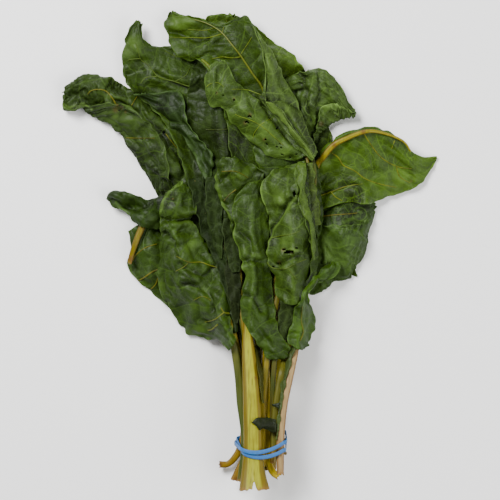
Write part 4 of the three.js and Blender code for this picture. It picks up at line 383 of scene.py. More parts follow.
# Each leaf's listed patches paint light on its lit parts and shade on its shaded parts.
BLADE_LOOKS = {
    "back": BladeLook(
        (54, 75, 17), blister=0.7, painted_light_and_shade=((221, 19, 10, -0.5), (245, 22, 9, 0.5), (328, 138, 8, -0.6)),
        veins=((0.5, (254, 165, 250, 110, 243, 60, 232, 32, 226, 20)),),
    ),
    "crumpled": BladeLook(
        (48, 67, 20), blister=1.3, blister_size=11.0, fold=1.8, fold_length=14.0,
        creases=(
            (299, 84, 307, 92, 306, 105, 311, 120), (318, 76, 320, 94, 316, 110, 318, 124),
            (283, 76, 294, 72, 304, 78, 303, 90, 292, 93),
        ),
        highlight_rims=((322, 108, 336, 105.5, 342, 108, 348, 112),),
        painted_light_and_shade=(
            (297, 122, 13, -1.0), (311, 104, 9, -0.6), (338, 116, 12, 0.8), (317, 132, 8, 0.5),
            (320, 118, 8, 0.5), (303, 74, 7, -0.6),
        ),
        rust=((321, 124, 2.5),),
    ),
    "shoulder": BladeLook(
        (40, 60, 13), blister=1.6, blister_size=9.0, vein_colour=(79, 76, 18),
        painted_light_and_shade=(
            (357, 208, 14, -1.2), (343, 220, 10, -1.0), (320, 245, 12, 0.8), (326, 264, 14, 0.7),
            (348, 256, 16, 0.5), (312, 256, 9, 1.0),
        ),
        veins=((0.7, (320, 216.5, 334, 215, 348, 214, 357, 213)),),
    ),
    "corner": BladeLook(
        (48, 70, 10), blister=0.8, ruffle=0.8, jag=0.4, vein_colour=(88, 95, 14),
        painted_light_and_shade=(
            (350, 179, 12, -0.6), (325, 164, 9, 0.5), (412, 172, 18, 0.5), (392, 188, 14, 0.5),
            (396, 141, 9, -0.4), (353, 199, 9, -1.2), (322, 160, 8, 0.4), (343, 186, 8, -0.5),
            (396, 141, 9, -0.5),
        ),
        creases=((324, 193, 338, 188, 351, 185, 359, 187, 361, 195, 360, 202),),
        veins=(
            (0.8, (331, 153, 338, 158, 343, 165.5, 354, 171, 365, 179, 379, 184, 396, 187.5)),
            (0.8, (363, 134, 371, 146, 381, 158, 396, 166.5, 411, 169)),
            (0.6, (396, 167, 399.5, 177, 410, 183)), (0.7, (394, 141, 391, 149)),
            (0.7, (319, 196, 331, 192, 343, 187.5, 354, 185, 362, 184)),
            (0.6, (331, 192, 335, 197, 342, 201)),
        ),
        rust=((333.5, 146, 3), (411, 181, 1.2)),
    ),
    "farLeft": BladeLook(
        (33, 49, 9), blister=1.4, blister_size=11.0, fold=1.7, fold_length=15.0,
        creases=(
            (113, 101, 127, 107, 140, 114, 154, 124, 166, 138), (164, 136, 172, 148, 180, 160, 184, 172),
            (148, 164, 158, 172, 170, 178, 181, 180), (122, 140, 136, 150, 143, 163),
        ),
        vein_colour=(81, 81, 16),
        painted_light_and_shade=(
            (117, 112, 15, 0.7), (93, 85, 12, -0.3), (133, 141, 8, 0.2), (140, 156, 10, -0.6),
            (157, 148, 9, -0.6), (78, 108, 8, -0.8), (165, 133, 9, -0.6), (150, 178, 9, -0.5),
            (162, 194, 13, -1.2), (85, 107, 9, -0.5), (141, 122, 8, 0.5), (171, 172, 7, 0.5),
        ),
        veins=(
            (0.8, (116, 104, 113, 99, 107, 92, 100, 90, 92, 91, 88, 95)),
            (0.5, (126, 138, 140, 138.4, 155, 138.6)), (0.5, (166, 134, 172, 142, 180, 152)),
            (0.5, (132, 106, 136, 99, 138, 96)),
        ),
        highlight_rims=((64, 105, 70, 108, 78, 105, 83, 103, 92, 110),),
        rust=((116, 110, 3), (122, 108, 2), (126, 112, 1.5), (118, 106, 1.5)),
        holes=((119.5, 110.8, 1.2, 0.8), (164.5, 132.5, 1.6, 1.4)),
    ),
    "lowLeft": BladeLook((33, 51, 6), blister=1.0, vein_colour=(83, 80, 11), veins=(
        (0.9, (160, 269, 152, 272, 145, 277, 138, 281)), (0.7, (158, 278, 156, 284, 151, 289)),
        (0.7, (133, 260, 135, 256, 145, 248, 157, 244)),
    )),
    "leftTip": BladeLook(
        (24, 40, 3), blister=0.9, highlight_rims=((116, 203, 126, 213, 134, 222),),
        painted_light_and_shade=((153, 223, 8, 1.0), (126, 206, 9, 1.0), (157, 199, 9, -1.6)),
        creases=((112, 200, 124, 207, 137, 209, 148, 205),),
    ),
    "horn": BladeLook(
        (33, 50, 7), blister=0.5, fold=0.7, vein_colour=(60, 77, 19),
        creases=((156, 74, 170, 82, 186, 88),),
        painted_light_and_shade=((130, 47, 13, 0.9), (146, 72, 12, -0.4), (152, 90, 8, -0.2)),
        veins=(
            (
                0.75,
                (204, 90, 198, 89, 186, 86, 175, 82, 163, 79, 156, 75, 149, 66, 141, 60, 139, 53, 136, 44),
            ),
            (0.6, (157, 77, 146, 78, 141, 84)), (0.55, (141, 59, 134, 59.5, 128, 60.5)),
            (0.5, (175, 82, 186, 76, 190, 68)), (0.5, (165, 51, 172, 55, 186, 60)),
            (1.4, (213, 70, 208, 65.2, 202, 60)),
        ),
    ),
    "middle": BladeLook(
        # Its green is darkened as painted shade: it lies in the dark recess under the crown and pierced
        # leaves.
        climb=8.0, green=(23, 36, 4), blister=1.3, blister_size=9.0, vein_colour=(42, 52, 12),
        painted_light_and_shade=((226, 142, 10, -1.3), (216, 133, 7, -0.5), (207, 124, 8, 0.6), (214, 163, 8, 0.4)),
        veins=((0.6, (206, 130, 218, 130.5, 232, 130, 238, 137, 244, 150)),),
    ),
    "darkFold": BladeLook(
        # Its green is darkened as painted shade on its steep folded side.
        (19, 34, 3), blister=0.7, creases=((173, 144, 180, 153, 191, 160, 201, 173, 201, 187),),
        painted_light_and_shade=(
            (165, 135, 16, -0.5), (184, 150, 9, 1.5), (163, 106, 12, -0.8), (206, 160, 7, 0.3),
            (160, 106, 2.5, -1.5),
        ),
        highlight_rims=(
            (
                134, 94.5, 150, 95.4, 166, 92, 178, 91, 184, 98, 187, 120, 199, 139, 211, 150, 213, 169,
                208, 179, 202, 170, 195, 153,
            ),
            (190, 168, 194, 180, 196, 189, 201, 197),
        ),
    ),
    "leftFront": BladeLook(
        (33, 51, 6), blister=1.4, blister_size=12.0, vein_colour=(82, 88, 15),
        creases=(
            (160, 219, 178, 220, 197, 217), (195, 216, 205, 235, 214, 254, 222, 268),
            (180, 263, 190, 270, 204, 276, 215, 266), (184, 284, 199, 286, 211, 296, 214, 310),
            (165, 232, 176, 242, 180, 256),
        ),
        painted_light_and_shade=(
            (191, 246, 9, 1.0), (189, 221, 8, 0.7), (153, 223, 7, 0.8), (190, 278, 10, -0.6),
            (191, 260, 7, 0.6), (205, 274, 6, 0.5), (156, 286, 12, 0.8), (193, 303, 10, 0.5),
            (195, 334, 12, 1.0), (166, 200, 10, -1.7), (218, 290, 8, -0.5), (190, 322, 7, -0.9),
            (156, 268, 7, -0.5), (219, 308, 8, -0.5), (180, 218, 9, 0.6), (155, 214, 6, 0.5),
        ),
        veins=(
            (0.8, (225, 278, 220, 269, 209, 265, 201, 262, 189, 262, 176.5, 256)),
            (0.6, (211, 300, 203, 296, 194, 300)), (0.9, (229, 313, 224, 312, 221, 307)),
            (0.7, (224, 312, 215, 319, 205, 322)), (0.8, (218, 324, 212, 329, 208, 330)),
            (0.5, (189, 262, 184, 267, 176, 271)),
        ),
        highlight_rims=((160, 218, 178, 217.4, 196, 216), (161, 212, 164, 199, 176, 188, 183, 183)),
        rust=((173.4, 199, 0.9),),
    ),
    "crown": BladeLook(
        (34, 52, 4), blister=0.8, vein_colour=(77, 90, 14), creases=((168, 32, 182, 35, 196, 41, 207, 39),),
        painted_light_and_shade=(
            (186, 22, 15, 0.8), (175, 26, 7, 0.3), (222, 34, 10, -0.3), (243, 68, 8, -0.5),
            (267, 101, 11, -0.8), (236, 142, 14, -1.4), (216, 50, 10, -0.3), (282, 68, 8, 0.4),
        ),
        veins=(
            (0.7, (241, 58, 232, 59, 222, 58, 212, 60)), (0.5, (241, 55, 247, 46, 252, 38)),
            (0.6, (222, 35, 208, 38.6, 190, 38, 170, 38)), (0.5, (222, 35, 224, 28)),
            (0.5, (214, 29, 205, 31, 188, 30)), (2.2, (211, 69.5, 207, 65, 202, 60.5)),
        ),
    ),
    "under": BladeLook((32, 50, 5), blister=0.9),
    "pierced": BladeLook(
        (45, 64, 16), blister=0.7, vein_colour=(80, 97, 22),
        painted_light_and_shade=((262, 133, 9, 0.4), (284, 154, 7, 0.6), (240, 100, 8, 0.3)),
        creases=((262, 106, 270, 117, 280, 130, 288, 140, 295, 148, 302, 154.5),),
        veins=(
            (0.6, (260, 126, 266, 122, 272, 119)),
            (0.6, (283, 146, 272, 136, 260, 126, 248, 120, 240, 117.5, 235, 115)),
            (0.5, (260, 126, 254, 134, 253, 140)),
            (0.55, (264, 97, 256, 94, 248, 91, 240, 90.4, 232, 90.6)),
            (0.5, (207, 88, 211, 85, 218, 84, 224, 88)),
        ),
        rust=((250, 115.6, 1.6), (245, 123.4, 1.8), (234, 100, 1.4), (217, 94, 1.1), (264, 140, 1.6)),
        holes=(
            (217, 94, 0.9, 0.7), (223, 97.5, 0.7, 0.7), (234, 101, 0.9, 1.6), (250, 117.4, 2.2, 1.0),
            (247, 123, 2.3, 1.1), (277, 129, 1.5, 1.1), (265, 140, 1.2, 0.8), (272, 142, 0.8, 0.7),
            (266, 144.4, 0.8, 0.7), (281, 144, 1.0, 0.8), (276.6, 147, 0.9, 0.8), (281, 148, 0.9, 0.9),
            (282, 155, 1.9, 1.0), (290, 158.4, 1.3, 0.8), (296, 155, 1.2, 0.9),
        ),
    ),
    "paleFlap": BladeLook(
        (50, 68, 22), blister=0.5, ruffle=0.5,
        painted_light_and_shade=(
            (297, 122, 12, -0.8), (268, 98, 8, -0.5), (303, 133, 6, -1.2), (308, 141, 6, -1.6),
            (312, 149, 5, -1.6),
        ),
        creases=(
            (262, 99, 271, 104, 280, 100, 290, 103, 299, 110),
            (283, 112, 289, 120, 294.5, 129, 301, 137.5, 308, 147),
        ),
    ),
    "curl": BladeLook(
        (31, 48, 5), blister=1.3, blister_size=9.0, vein_colour=(77, 78, 12),
        veins=((0.7, (236, 190, 230, 194.5, 224, 201)), (0.5, (222, 172, 236, 172, 248, 178))),
        highlight_rims=((216, 176, 218, 189, 222, 203, 231, 219),),
        painted_light_and_shade=((243, 176, 9, 1.0), (237, 240, 8, 0.6), (262, 180, 7, -0.7), (247, 205, 7, -0.7)),
    ),
    "centre": BladeLook(
        (33, 51, 6), blister=0.8, vein_colour=(66, 83, 16),
        highlight_rims=((234, 223, 235, 239, 240, 257, 244, 268),),
        painted_light_and_shade=(
            (262, 224, 7, 0.6), (257, 254, 6, 0.5), (243, 272, 9, 1.2), (246, 250, 7, 0.6),
            (258, 256, 7, 0.4), (262, 343, 8, 0.9), (273, 297, 8, -1.0), (275, 330, 8, -0.6),
            (250, 206, 7, -0.6),
        ),
        creases=(
            (237, 264, 249, 259, 261, 262), (240, 292, 254, 297, 261, 311), (240, 232, 250, 240, 252, 252),
        ),
    ),
    "rightCentre": BladeLook(
        (40, 58, 12), blister=0.8, vein_colour=(64, 80, 22),
        painted_light_and_shade=(
            (276, 198, 12, 0.5), (284, 240, 11, 0.7), (281, 268, 9, 0.7), (308, 172, 4.5, -1.3),
            (308.5, 182, 4.5, -1.3), (309.5, 192, 4.5, -1.4), (311, 202, 4.5, -1.6), (313, 211, 4, -1.6),
            (315, 220, 4, -1.4), (281, 198, 8, 0.4), (271, 243, 7, -1.1), (269, 268, 6, -0.6),
            (297, 216, 7, -0.5), (296, 170, 7, 0.4),
        ),
        creases=((264, 262, 266, 243, 272, 229, 280, 216, 290, 200), (278, 266, 288, 259, 298, 256)),
        highlight_rims=(
            (266, 262, 268, 244, 274, 230, 282, 218, 292, 202, 296, 196), (262, 178, 261, 196, 266, 212),
            (284, 252, 290, 249, 297, 251),
        ),
        veins=(
            (0.6, (272, 238, 280, 236, 290, 234.6, 300, 231)),
            (0.65, (267, 262, 271, 267, 278, 269, 286, 268.4, 296, 263, 306, 259)),
            (0.5, (288, 269, 296, 279)),
        ),
        rust=((283, 250, 2), (279, 262, 1.6)),
        holes=(
            (289, 252, 5, 2.1), (284, 249.6, 2.2, 1.3), (296, 248, 1.9, 1.3), (293.6, 194, 1.9, 2.8),
            (279, 263.4, 2.8, 0.8), (273.6, 266, 2.2, 0.8),
        ),
    ),
    "lowRight": BladeLook(
        (35, 56, 4), blister=0.9, vein_colour=(78, 80, 12), painted_light_and_shade=((302, 332, 14, 0.6),),
        veins=((0.6, (300, 340, 303, 331, 301, 320, 302, 306)),),
    ),
    "scrapLong": BladeLook((15, 21, 2), blister=0.6, blister_size=8, ruffle=0.3, jag=1.5),
    "scrapShort": BladeLook((11, 19, 2), blister=0.4, ruffle=0.3, jag=0.9),
}


@dataclass(frozen=True)
class StripPlan:
    """Narrow folded leaf seen in a gap: its middle line and its widths, in squares."""

    path: Line
    widths: tuple[float, ...]
    # for a strip deep in a gap, darkened as painted shade
    green: tuple[int, int, int]
    tone: Tone = Tone.DEEP
    arch: float = 0.0
    # patches of painted light and painted shade: place, reach, and how much
    painted_light_and_shade: tuple[tuple[float, float, float, float], ...] = ()

    def plan(self) -> BladePlan:
        """Lay the sheet out square to its middle line.

        Returns:
            The sheet's plan.
        """
        rows = []
        places = list(zip(self.path[::2], self.path[1::2]))
        for k, ((x, y), width) in enumerate(zip(places, self.widths)):
            (ax, ay), (bx, by) = places[max(k - 1, 0)], places[min(k + 1, len(places) - 1)]
            length = math.hypot(bx - ax, by - ay)
            ox, oy = (by - ay) / length * width / 2, -(bx - ax) / length * width / 2
            rows.append((x - ox, y - oy, x, y, x + ox, y + oy))
        return BladePlan(self.tone, 2 * len(rows), tuple(rows))

    def look(self) -> BladeLook:
        """Choose how the strip is shaped and coloured.

        Returns:
            A rolled leaf's look or a flat one's.
        """
        if self.arch:
            return BladeLook(
                self.green, blister=0.9, blister_size=9.0, fold=1.0, fold_length=9.0, ruffle=0.2,
                jag=1.2, arch=self.arch, vein_spacing=12.0, painted_light_and_shade=self.painted_light_and_shade,
            )
        return BladeLook(
            self.green, blister=0.5, fold=2.4, fold_length=9.0, ruffle=1.0, jag=0.8, gloss=1.12,
        )


# The gap, lowerGap, long and short strips are darkened well below the leaves' own green: painted shade deep
# between the leaves.
STRIPS = {
    "gap": StripPlan(
        (196, 178, 202, 204, 210, 231, 218, 252, 225, 274, 229, 292, 232, 306), (14, 15, 16, 14, 12, 8, 4),
        (21, 31, 10),
    ),
    "tooth": StripPlan((334, 256, 345, 266, 357.5, 276), (18, 15, 2), (34, 50, 8)),
    "lowerGap": StripPlan(
        (231, 260, 232.5, 275, 234, 290, 235, 305, 236.5, 323), (11, 15, 14, 10, 3), (20, 27, 8),
    ),
    "long": StripPlan(
        (211, 177, 213, 195, 214.5, 212, 216.5, 228, 218.5, 243, 220, 259), (9, 15, 16, 14, 9, 3),
        (24, 35, 11),
    ),
    "short": StripPlan(
        (229, 218, 230, 232, 232.5, 246, 234.5, 258, 236, 272), (10, 14, 15, 14, 8), (25, 35, 12),
    ),
    "upperRoll": StripPlan(
        (
            265.5, 103.8, 273.8, 110, 281.5, 117.3, 287.3, 125.5, 292.7, 133.8, 299.4, 143, 305.2, 150.2,
            310.4, 156.2, 313.3, 159.5,
        ),
        (4, 8.5, 5.5, 4, 4.5, 4.5, 4, 2.5, 1), (50, 68, 19), Tone.PALE, 1.8,
    ),
    "roll": StripPlan(
        (
            302, 163, 300.4, 169.7, 301.4, 177.4, 300.9, 186.1, 302.3, 193.4, 304.4, 200.6, 304.2, 208.4,
            309, 217, 311.2, 226, 312.2, 235.5, 312.8, 247, 313.5, 260,
        ),
        (5, 9.5, 9, 6, 5.5, 8, 8, 5.5, 5, 3.8, 3.4, 3.2), (44, 62, 13), Tone.PALE, 1.7,
    ),
    "sideRoll": StripPlan(
        (308.6, 163.4, 309.5, 174.5, 309.5, 187.1, 311.5, 196.8, 313.6, 206.4, 315.5, 217.1, 317.1, 225.3),
        (8, 10, 11, 11, 11, 8, 4.5), (48, 64, 15), Tone.PALE, 1.4,
        # painted shade down its shaded left side
        painted_light_and_shade=(
            (308, 168, 4.5, -0.9), (308.5, 178, 5, -0.9), (309, 188, 5, -0.9), (311, 198, 4.5, -1.1),
            (313, 207, 4, -1.3),
        ),
    ),
    "wing": StripPlan(
        (294, 345, 289, 361, 285, 377, 281.8, 394, 279.4, 412, 277.6, 428, 276.8, 438),
        (5.5, 4.6, 3.8, 3.4, 3, 2.6, 1.6), (33, 43, 9), Tone.DEEP, 0.2,
    ),
    "veil": StripPlan(
        (290, 294, 290, 305, 286, 318, 282, 331, 277, 343, 273, 352), (14, 21, 17, 14, 10, 4), (31, 42, 15),
    ),
    "stemGap": StripPlan(
        (258, 345, 259.5, 362, 261.5, 382, 262.8, 402), (4.5, 4.5, 3.2, 1.6), (48, 50, 8), Tone.DEEP, 0.5,
    ),
}
STALK_LOOKS = {
    "back": StalkLook((112, 106, 21), (101, 94, 16)),
    "crumpled": StalkLook((134, 110, 8), (115, 90, 5), greens_from=90),
    "shoulder": StalkLook((101, 90, 19), (90, 78, 16)),
    "corner": StalkLook(
        (115, 107, 1), (90, 77, 1), greens_from=900, rust=((333.5, 145.4, 2.6), (362.5, 132.3, 2.3)),
    ),
    "farLeft": StalkLook((120, 95, 1), (104, 80, 1), greens_from=80, rust=((220, 464, 2.5),)),
    "lowLeft": StalkLook((110, 86, 1), (96, 72, 1), greens_from=90, rust=((236, 478, 2.5),)),
    "leftTip": StalkLook(
        (97, 87, 1), (84, 69, 1), greens_from=900, ridge=0.07, rust=((131, 259, 3.0), (143, 223, 2.0)),
    ),
    "horn": StalkLook((112, 106, 21), (99, 94, 16), greens_from=60),
    "middle": StalkLook((125, 117, 29), (104, 88, 16), greens_from=900),
    "darkFold": StalkLook((83, 92, 22), (70, 79, 19), greens_from=40),
    "leftFront": StalkLook((64, 75, 20), (51, 63, 16), greens_from=60, upper=(82, 82, 30)),
    "crown": StalkLook((77, 84, 11), (63, 71, 7), greens_from=900, slim=0.72),
    # The under and pierced stalks are brightened beyond their own yellow: painted light, making up for the
    # shade they lie in deep in the bunch.
    "under": StalkLook((172, 152, 2), (148, 126, 1), channel=0.16),
    "pierced": StalkLook((156, 136, 4), (136, 116, 2), greens_from=30, upper=(18, 38, 10)),
    # Its green upper part is darkened as painted shade, where it shows beside the sideRoll strip.
    "paleFlap": StalkLook((100, 84, 6), (84, 68, 4), channel=0.1, greens_from=10, upper=(24, 50, 12)),
    "curl": StalkLook((134, 110, 8), (115, 90, 5), greens_from=90),
    "centre": StalkLook(
        (136, 136, 23), (94, 80, 1), core_width=0.42, greens_from=900, ridge=0.016, ridge_count=15,
        notch=10.0, sides=80, rust=((255.5, 377, 1.6),),
    ),
    "rightCentre": StalkLook((78, 77, 14), (69, 67, 8), greens_from=140),
    "lowRight": StalkLook((142, 119, 79), (117, 88, 49), greens_from=900),
}


# The order in which the pieces lie, from the surface up.
LAYING = (
    "back stalk", "back blade", "crumpled stalk", "crumpled blade",
    "shoulder stalk", "tooth strip", "shoulder blade", "corner blade", "corner stalk",
    "farLeft stalk", "farLeft blade", "lowLeft stalk", "lowLeft blade",
    "leftTip stalk", "leftTip blade", "horn stalk", "horn blade",
    "middle stalk", "middle blade", "darkFold stalk", "darkFold blade",
    "leftFront stalk", "leftFront blade", "crown blade", "crown stalk",
    "under stalk", "under blade", "pierced stalk", "pierced blade",
    "paleFlap stalk", "paleFlap blade", "curl stalk",
    "gap strip", "lowerGap strip", "long strip", "short strip", "curl blade",
    "rightCentre stalk", "veil strip", "centre stalk", "stemGap strip",
    "lowRight stalk", "wing strip", "centre blade", "sideRoll strip", "rightCentre blade",
    "roll strip", "upperRoll strip", "lowRight blade", "scrapLong blade", "scrapShort blade",
)


# ---- curves and fields ----


def plan(line: Sequence[float]) -> np.ndarray:
    """Places on the plan sheet, x and y by turns in squares, as an array (count, 2) in millimetres."""
    places = np.reshape(np.array(line, dtype=float), (-1, 2))
    return np.stack([(places[:, 0] - SHEET_CENTRE[0]), (SHEET_CENTRE[1] - places[:, 1])], 1) * SQUARE


def smooth(points: np.ndarray, places: np.ndarray) -> np.ndarray:
    """Smooth curve through points.

    Args:
        points: (count, ...) values along the first axis.
        places: where to read the curve, from 0 to count - 1.

    Returns:
        The values there, (len(places), ...).
    """
    last = len(points) - 1
    i = np.clip(np.floor(places).astype(int), 0, max(last - 1, 0))
    f = (places - i).reshape(-1, *([1] * (points.ndim - 1)))
    a, b, c, d = (points[np.clip(i + k, 0, last)] for k in (-1, 0, 1, 2))
    return b + 0.5 * f * (c - a + f * (2 * a - 5 * b + 4 * c - d + f * (3 * (b - c) + d - a)))


def run_along(line: np.ndarray) -> np.ndarray:
    """Length of a line on the plan from its start to each of its points."""
    return np.concatenate([[0], np.cumsum(np.hypot(*np.diff(line, axis=0).T))])


def unit(vectors: np.ndarray) -> np.ndarray:
    """Vectors along the last axis, brought to a length of 1."""
    return vectors / np.maximum(np.linalg.norm(vectors, axis=-1, keepdims=True), TINY)


def distance_to(lines: Sequence[np.ndarray], x: np.ndarray, y: np.ndarray) -> np.ndarray:
    """Distance on the plan to the nearest of some polylines.

    Args:
        lines: (count, 2) corners of each polyline, in millimetres.
        x: places across, in millimetres.
        y: places along, of the same shape.

    Returns:
        A distance for each place, large where there are no lines.
    """
    best = np.full(x.shape, 1e3)
    for line in lines:
        for (ax, ay), (bx, by) in zip(line[:-1], line[1:]):
            dx, dy = bx - ax, by - ay
            size = max(dx * dx + dy * dy, 1e-9)
            s = np.clip(((x - ax) * dx + (y - ay) * dy) / size, 0, 1)
            best = np.minimum(best, np.hypot(x - ax - s * dx, y - ay - s * dy))
    return best


def waves(x: np.ndarray, y: np.ndarray, length: float, seed: float) -> np.ndarray:
    """Soft uneven waves between about -1 and 1.

    Args:
        x: places across, in millimetres.
        y: places along, of the same shape.
        length: about how long each wave is.
        seed: which waves.

    Returns:
        A value for each place.
    """
    k = 2 * math.pi / length
    total = np.zeros(x.shape)
    for i in range(5):
        turn = 2.4 * i + seed
        phase = 1.7 * i * i + 3.1 * seed
        total += np.sin(k * (1 + 0.23 * i) * (x * math.cos(turn) + y * math.sin(turn)) + phase)
    return total / 2.6


def scattered(x: np.ndarray, y: np.ndarray, size: float, seed: float) -> tuple[np.ndarray, np.ndarray]:
    """Distances to the two nearest of scattered points.

    Args:
        x: places across, in millimetres.
        y: places along, of the same shape.
        size: about how far apart the points are.
        seed: which points.

    Returns:
        The nearest distance and the second nearest, both in sizes.
    """
    u = (x + 0.35 * size * waves(x, y, 3.1 * size, seed)) / size
    v = (y + 0.35 * size * waves(y, x, 2.7 * size, seed + 5)) / size
    near = np.full(x.shape, 9.0)
    second = np.full(x.shape, 9.0)
    for dx in (-1, 0, 1):
        for dy in (-1, 0, 1):
            cx, cy = np.floor(u) + dx, np.floor(v) + dy
            jx = np.modf(np.abs(np.sin(cx * 127.1 + cy * 311.7 + seed * 74.7) * 43758.5))[0]
            jy = np.modf(np.abs(np.sin(cx * 269.5 + cy * 183.3 + seed * 24.3) * 43758.5))[0]
            d = np.hypot(u - cx - jx, v - cy - jy)
            second = np.minimum(second, np.maximum(near, d))
            near = np.minimum(near, d)
    return near, second


def windows(values: np.ndarray, reach: int, axis: int) -> list[np.ndarray]:
    """Copies of a grid moved along one axis, its ends held.

    Args:
        values: the grid.
        reach: the most steps that a copy is moved.
        axis: the axis.

    Returns:
        The copies, from -reach to reach steps.
    """
    pads = [(reach, reach) if k == axis else (0, 0) for k in (0, 1)]
    wide = np.pad(values, pads, mode="edge")
    count = values.shape[axis]
    return [np.take(wide, range(k, k + count), axis) for k in range(2 * reach + 1)]


def softened(values: np.ndarray, reach: int) -> np.ndarray:
    """Mean over a square of 2 * reach + 1 steps of a grid."""
    down = sum(windows(values, reach, 0)) / (2 * reach + 1)
    return sum(windows(down, reach, 1)) / (2 * reach + 1)


def spread(values: np.ndarray, reach: int) -> np.ndarray:
    """Greatest value over a square of 2 * reach + 1 steps of a grid."""
    return np.max(windows(np.max(windows(values, reach, 0), 0), reach, 1), 0)


# ---- what the solids say ----


def solid_corners(node: str) -> np.ndarray:
    """Distinct corners of a CAD node.

    Args:
        node: its name.

    Returns:
        (count, 3) places in millimetres.
    """
    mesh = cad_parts[node].data
    corners = np.empty(len(mesh.vertices) * 3)
    mesh.vertices.foreach_get("co", corners)
    return np.unique(np.round(corners.reshape(-1, 3) / METRE, 3), axis=0)


def blade_heights(node: str, places: np.ndarray, upper: bool) -> np.ndarray:
    """Heights of the middle of a blade's solid.

    Args:
        node: the blade's node.
        places: (count, 2) places of the solid's own grid.
        upper: take the upper layer where a margin is folded over the place.

    Returns:
        A height for each place, NaN where the solid has no such pair of corners.
    """
    corners = solid_corners(node)
    heights = np.full(len(places), np.nan)
    for k, place in enumerate(places):
        near = corners[np.hypot(*(corners[:, :2] - place).T) < 0.55 * SOLID_THICKNESS]
        if len(near) < 2:
            continue
        i, j = np.triu_indices(len(near), 1)
        middle = (near[i] + near[j]) / 2
        off = np.hypot(*(middle[:, :2] - place).T)
        uneven = np.abs(np.linalg.norm(near[i] - near[j], axis=1) - SOLID_THICKNESS)
        fits = (off < PAIR_SLACK) & (uneven < THICKNESS_SLACK)
        if fits.any():
            heights[k] = middle[fits, 2].max() if upper else middle[fits, 2].min()
    return heights


@dataclass
class Pile:
    """Height of what lies so far, over square cells of the plan."""

    cell: float = 2.0
    width: int = 240
    depth: int = 280
    heights: np.ndarray = field(init=False)

    def __post_init__(self) -> None:
        """The empty surface."""
        self.heights = np.zeros((self.depth, self.width))

    def _cells(self, points: np.ndarray) -> tuple[np.ndarray, np.ndarray]:
        """Cells under points.

        Args:
            points: (..., 3) places in millimetres.

        Returns:
            The row and the column of each.
        """
        column, row = (np.round(points[..., k] / self.cell).astype(int) for k in (0, 1))
        column = np.clip(column + self.width // 2, 0, self.width - 1)
        row = np.clip(row + self.depth // 2, 0, self.depth - 1)
        return row, column

    def missing(self, points: np.ndarray, gap: float, most: float) -> np.ndarray:
        """How far points have to rise to lie a gap above the pile, at most so far."""
        need = self.heights[self._cells(points)] + gap - points[..., 2]
        return np.clip(need, 0, most)

    def add(self, points: np.ndarray) -> None:
        """Raise the pile to points that lie on it now."""
        np.maximum.at(self.heights, self._cells(points), points[..., 2])


def away_from(points: np.ndarray, place: Place, reach: float) -> np.ndarray:
    """Distance of each point, on the plan, from a place, where reach, in squares, counts as 1."""
    return np.hypot(*(points[..., :2] - plan(place)[0]).transpose(2, 0, 1)) / (reach * SQUARE)


def spots(points: np.ndarray, rust: Sequence[Sequence[float]]) -> np.ndarray:
    """Strength of rusty spots.

    Args:
        points: (rows, columns, 3) points in millimetres.
        rust: the place and the half width of each spot, in squares.

    Returns:
        From 0 to SPOT_STRENGTH at each point.
    """
    strength = np.zeros(points.shape[:2])
    for x, y, size in rust:
        spot = SPOT_STRENGTH * np.clip(1.4 - away_from(points, (x, y), size), 0, 1)
        strength = np.maximum(strength, spot)
    return strength


# ---- meshes ----


def make_piece(
    name: str,
    corners: np.ndarray,
    faces: list[list[int]],
    values: dict[str, np.ndarray],
    material: bpy.types.Material,
) -> bpy.types.Object:
    """Mesh object from arrays.

    Args:
        name: name of the piece.
        corners: (count, 3) places in millimetres.
        faces: the corners of each face, by number.
        values: a number for each corner under the name that the material reads.
        material: its finish.

    Returns:
        The object, linked to the scene.
    """
    mesh = bpy.data.meshes.new(name)
    mesh.from_pydata((corners * METRE).tolist(), [], faces)
    for key, numbers in values.items():
        layer = mesh.attributes.new(key, "FLOAT", "POINT")
        layer.data.foreach_set("value", numbers.astype(np.float32).ravel())
    mesh.materials.append(material)
    mesh.validate()
    mesh.shade_smooth()
    piece = bpy.data.objects.new(name, mesh)
    bpy.context.scene.collection.objects.link(piece)
    return piece


def sheet_faces(keep: np.ndarray) -> np.ndarray:
    """Faces of a closed sheet over a grid: both sides, and a wall along every open edge.

    Args:
        keep: (rows - 1, columns - 1) whether each square of the grid is there.

    Returns:
        (count, 4) corners, where the under side's corners follow the upper side's.
    """
    rows, columns = keep.shape[0] + 1, keep.shape[1] + 1
    number = np.arange(rows * columns).reshape(rows, columns)
    corners = [number[:-1, :-1], number[:-1, 1:], number[1:, 1:], number[1:, :-1]]
    upper = np.stack([c[keep] for c in corners], 1)
    count = rows * columns
    edges = np.concatenate([upper[:, [k, (k + 1) % 4]] for k in range(4)])
    keys = edges[:, 0] * count + edges[:, 1]
    open_edges = edges[~np.isin(keys, edges[:, 1] * count + edges[:, 0])]
    first, second = open_edges.T
    walls = np.stack([second, first, first + count, second + count], 1)
    return np.concatenate([upper, upper[:, ::-1] + count, walls])


def grid_normals(grid: np.ndarray) -> np.ndarray:
    """Unit normals of the points of a grid, (rows, columns, 3)."""
    forward, across = np.gradient(grid, axis=0), np.gradient(grid, axis=1)
    return unit(np.cross(across, forward))


# ---- finishes ----


def linear(colour: Sequence[float]) -> tuple[float, float, float, float]:
    """Turn screen values into the linear colour that a shader takes.

    Args:
        colour: red, green and blue from 0 to 255.

    Returns:
        The linear colour and an alpha of 1.
    """
    parts = [c / 255 for c in colour]
    red, green, blue = (p / 12.92 if p <= 0.04045 else ((p + 0.055) / 1.055) ** 2.4 for p in parts)
    return (red, green, blue, 1.0)


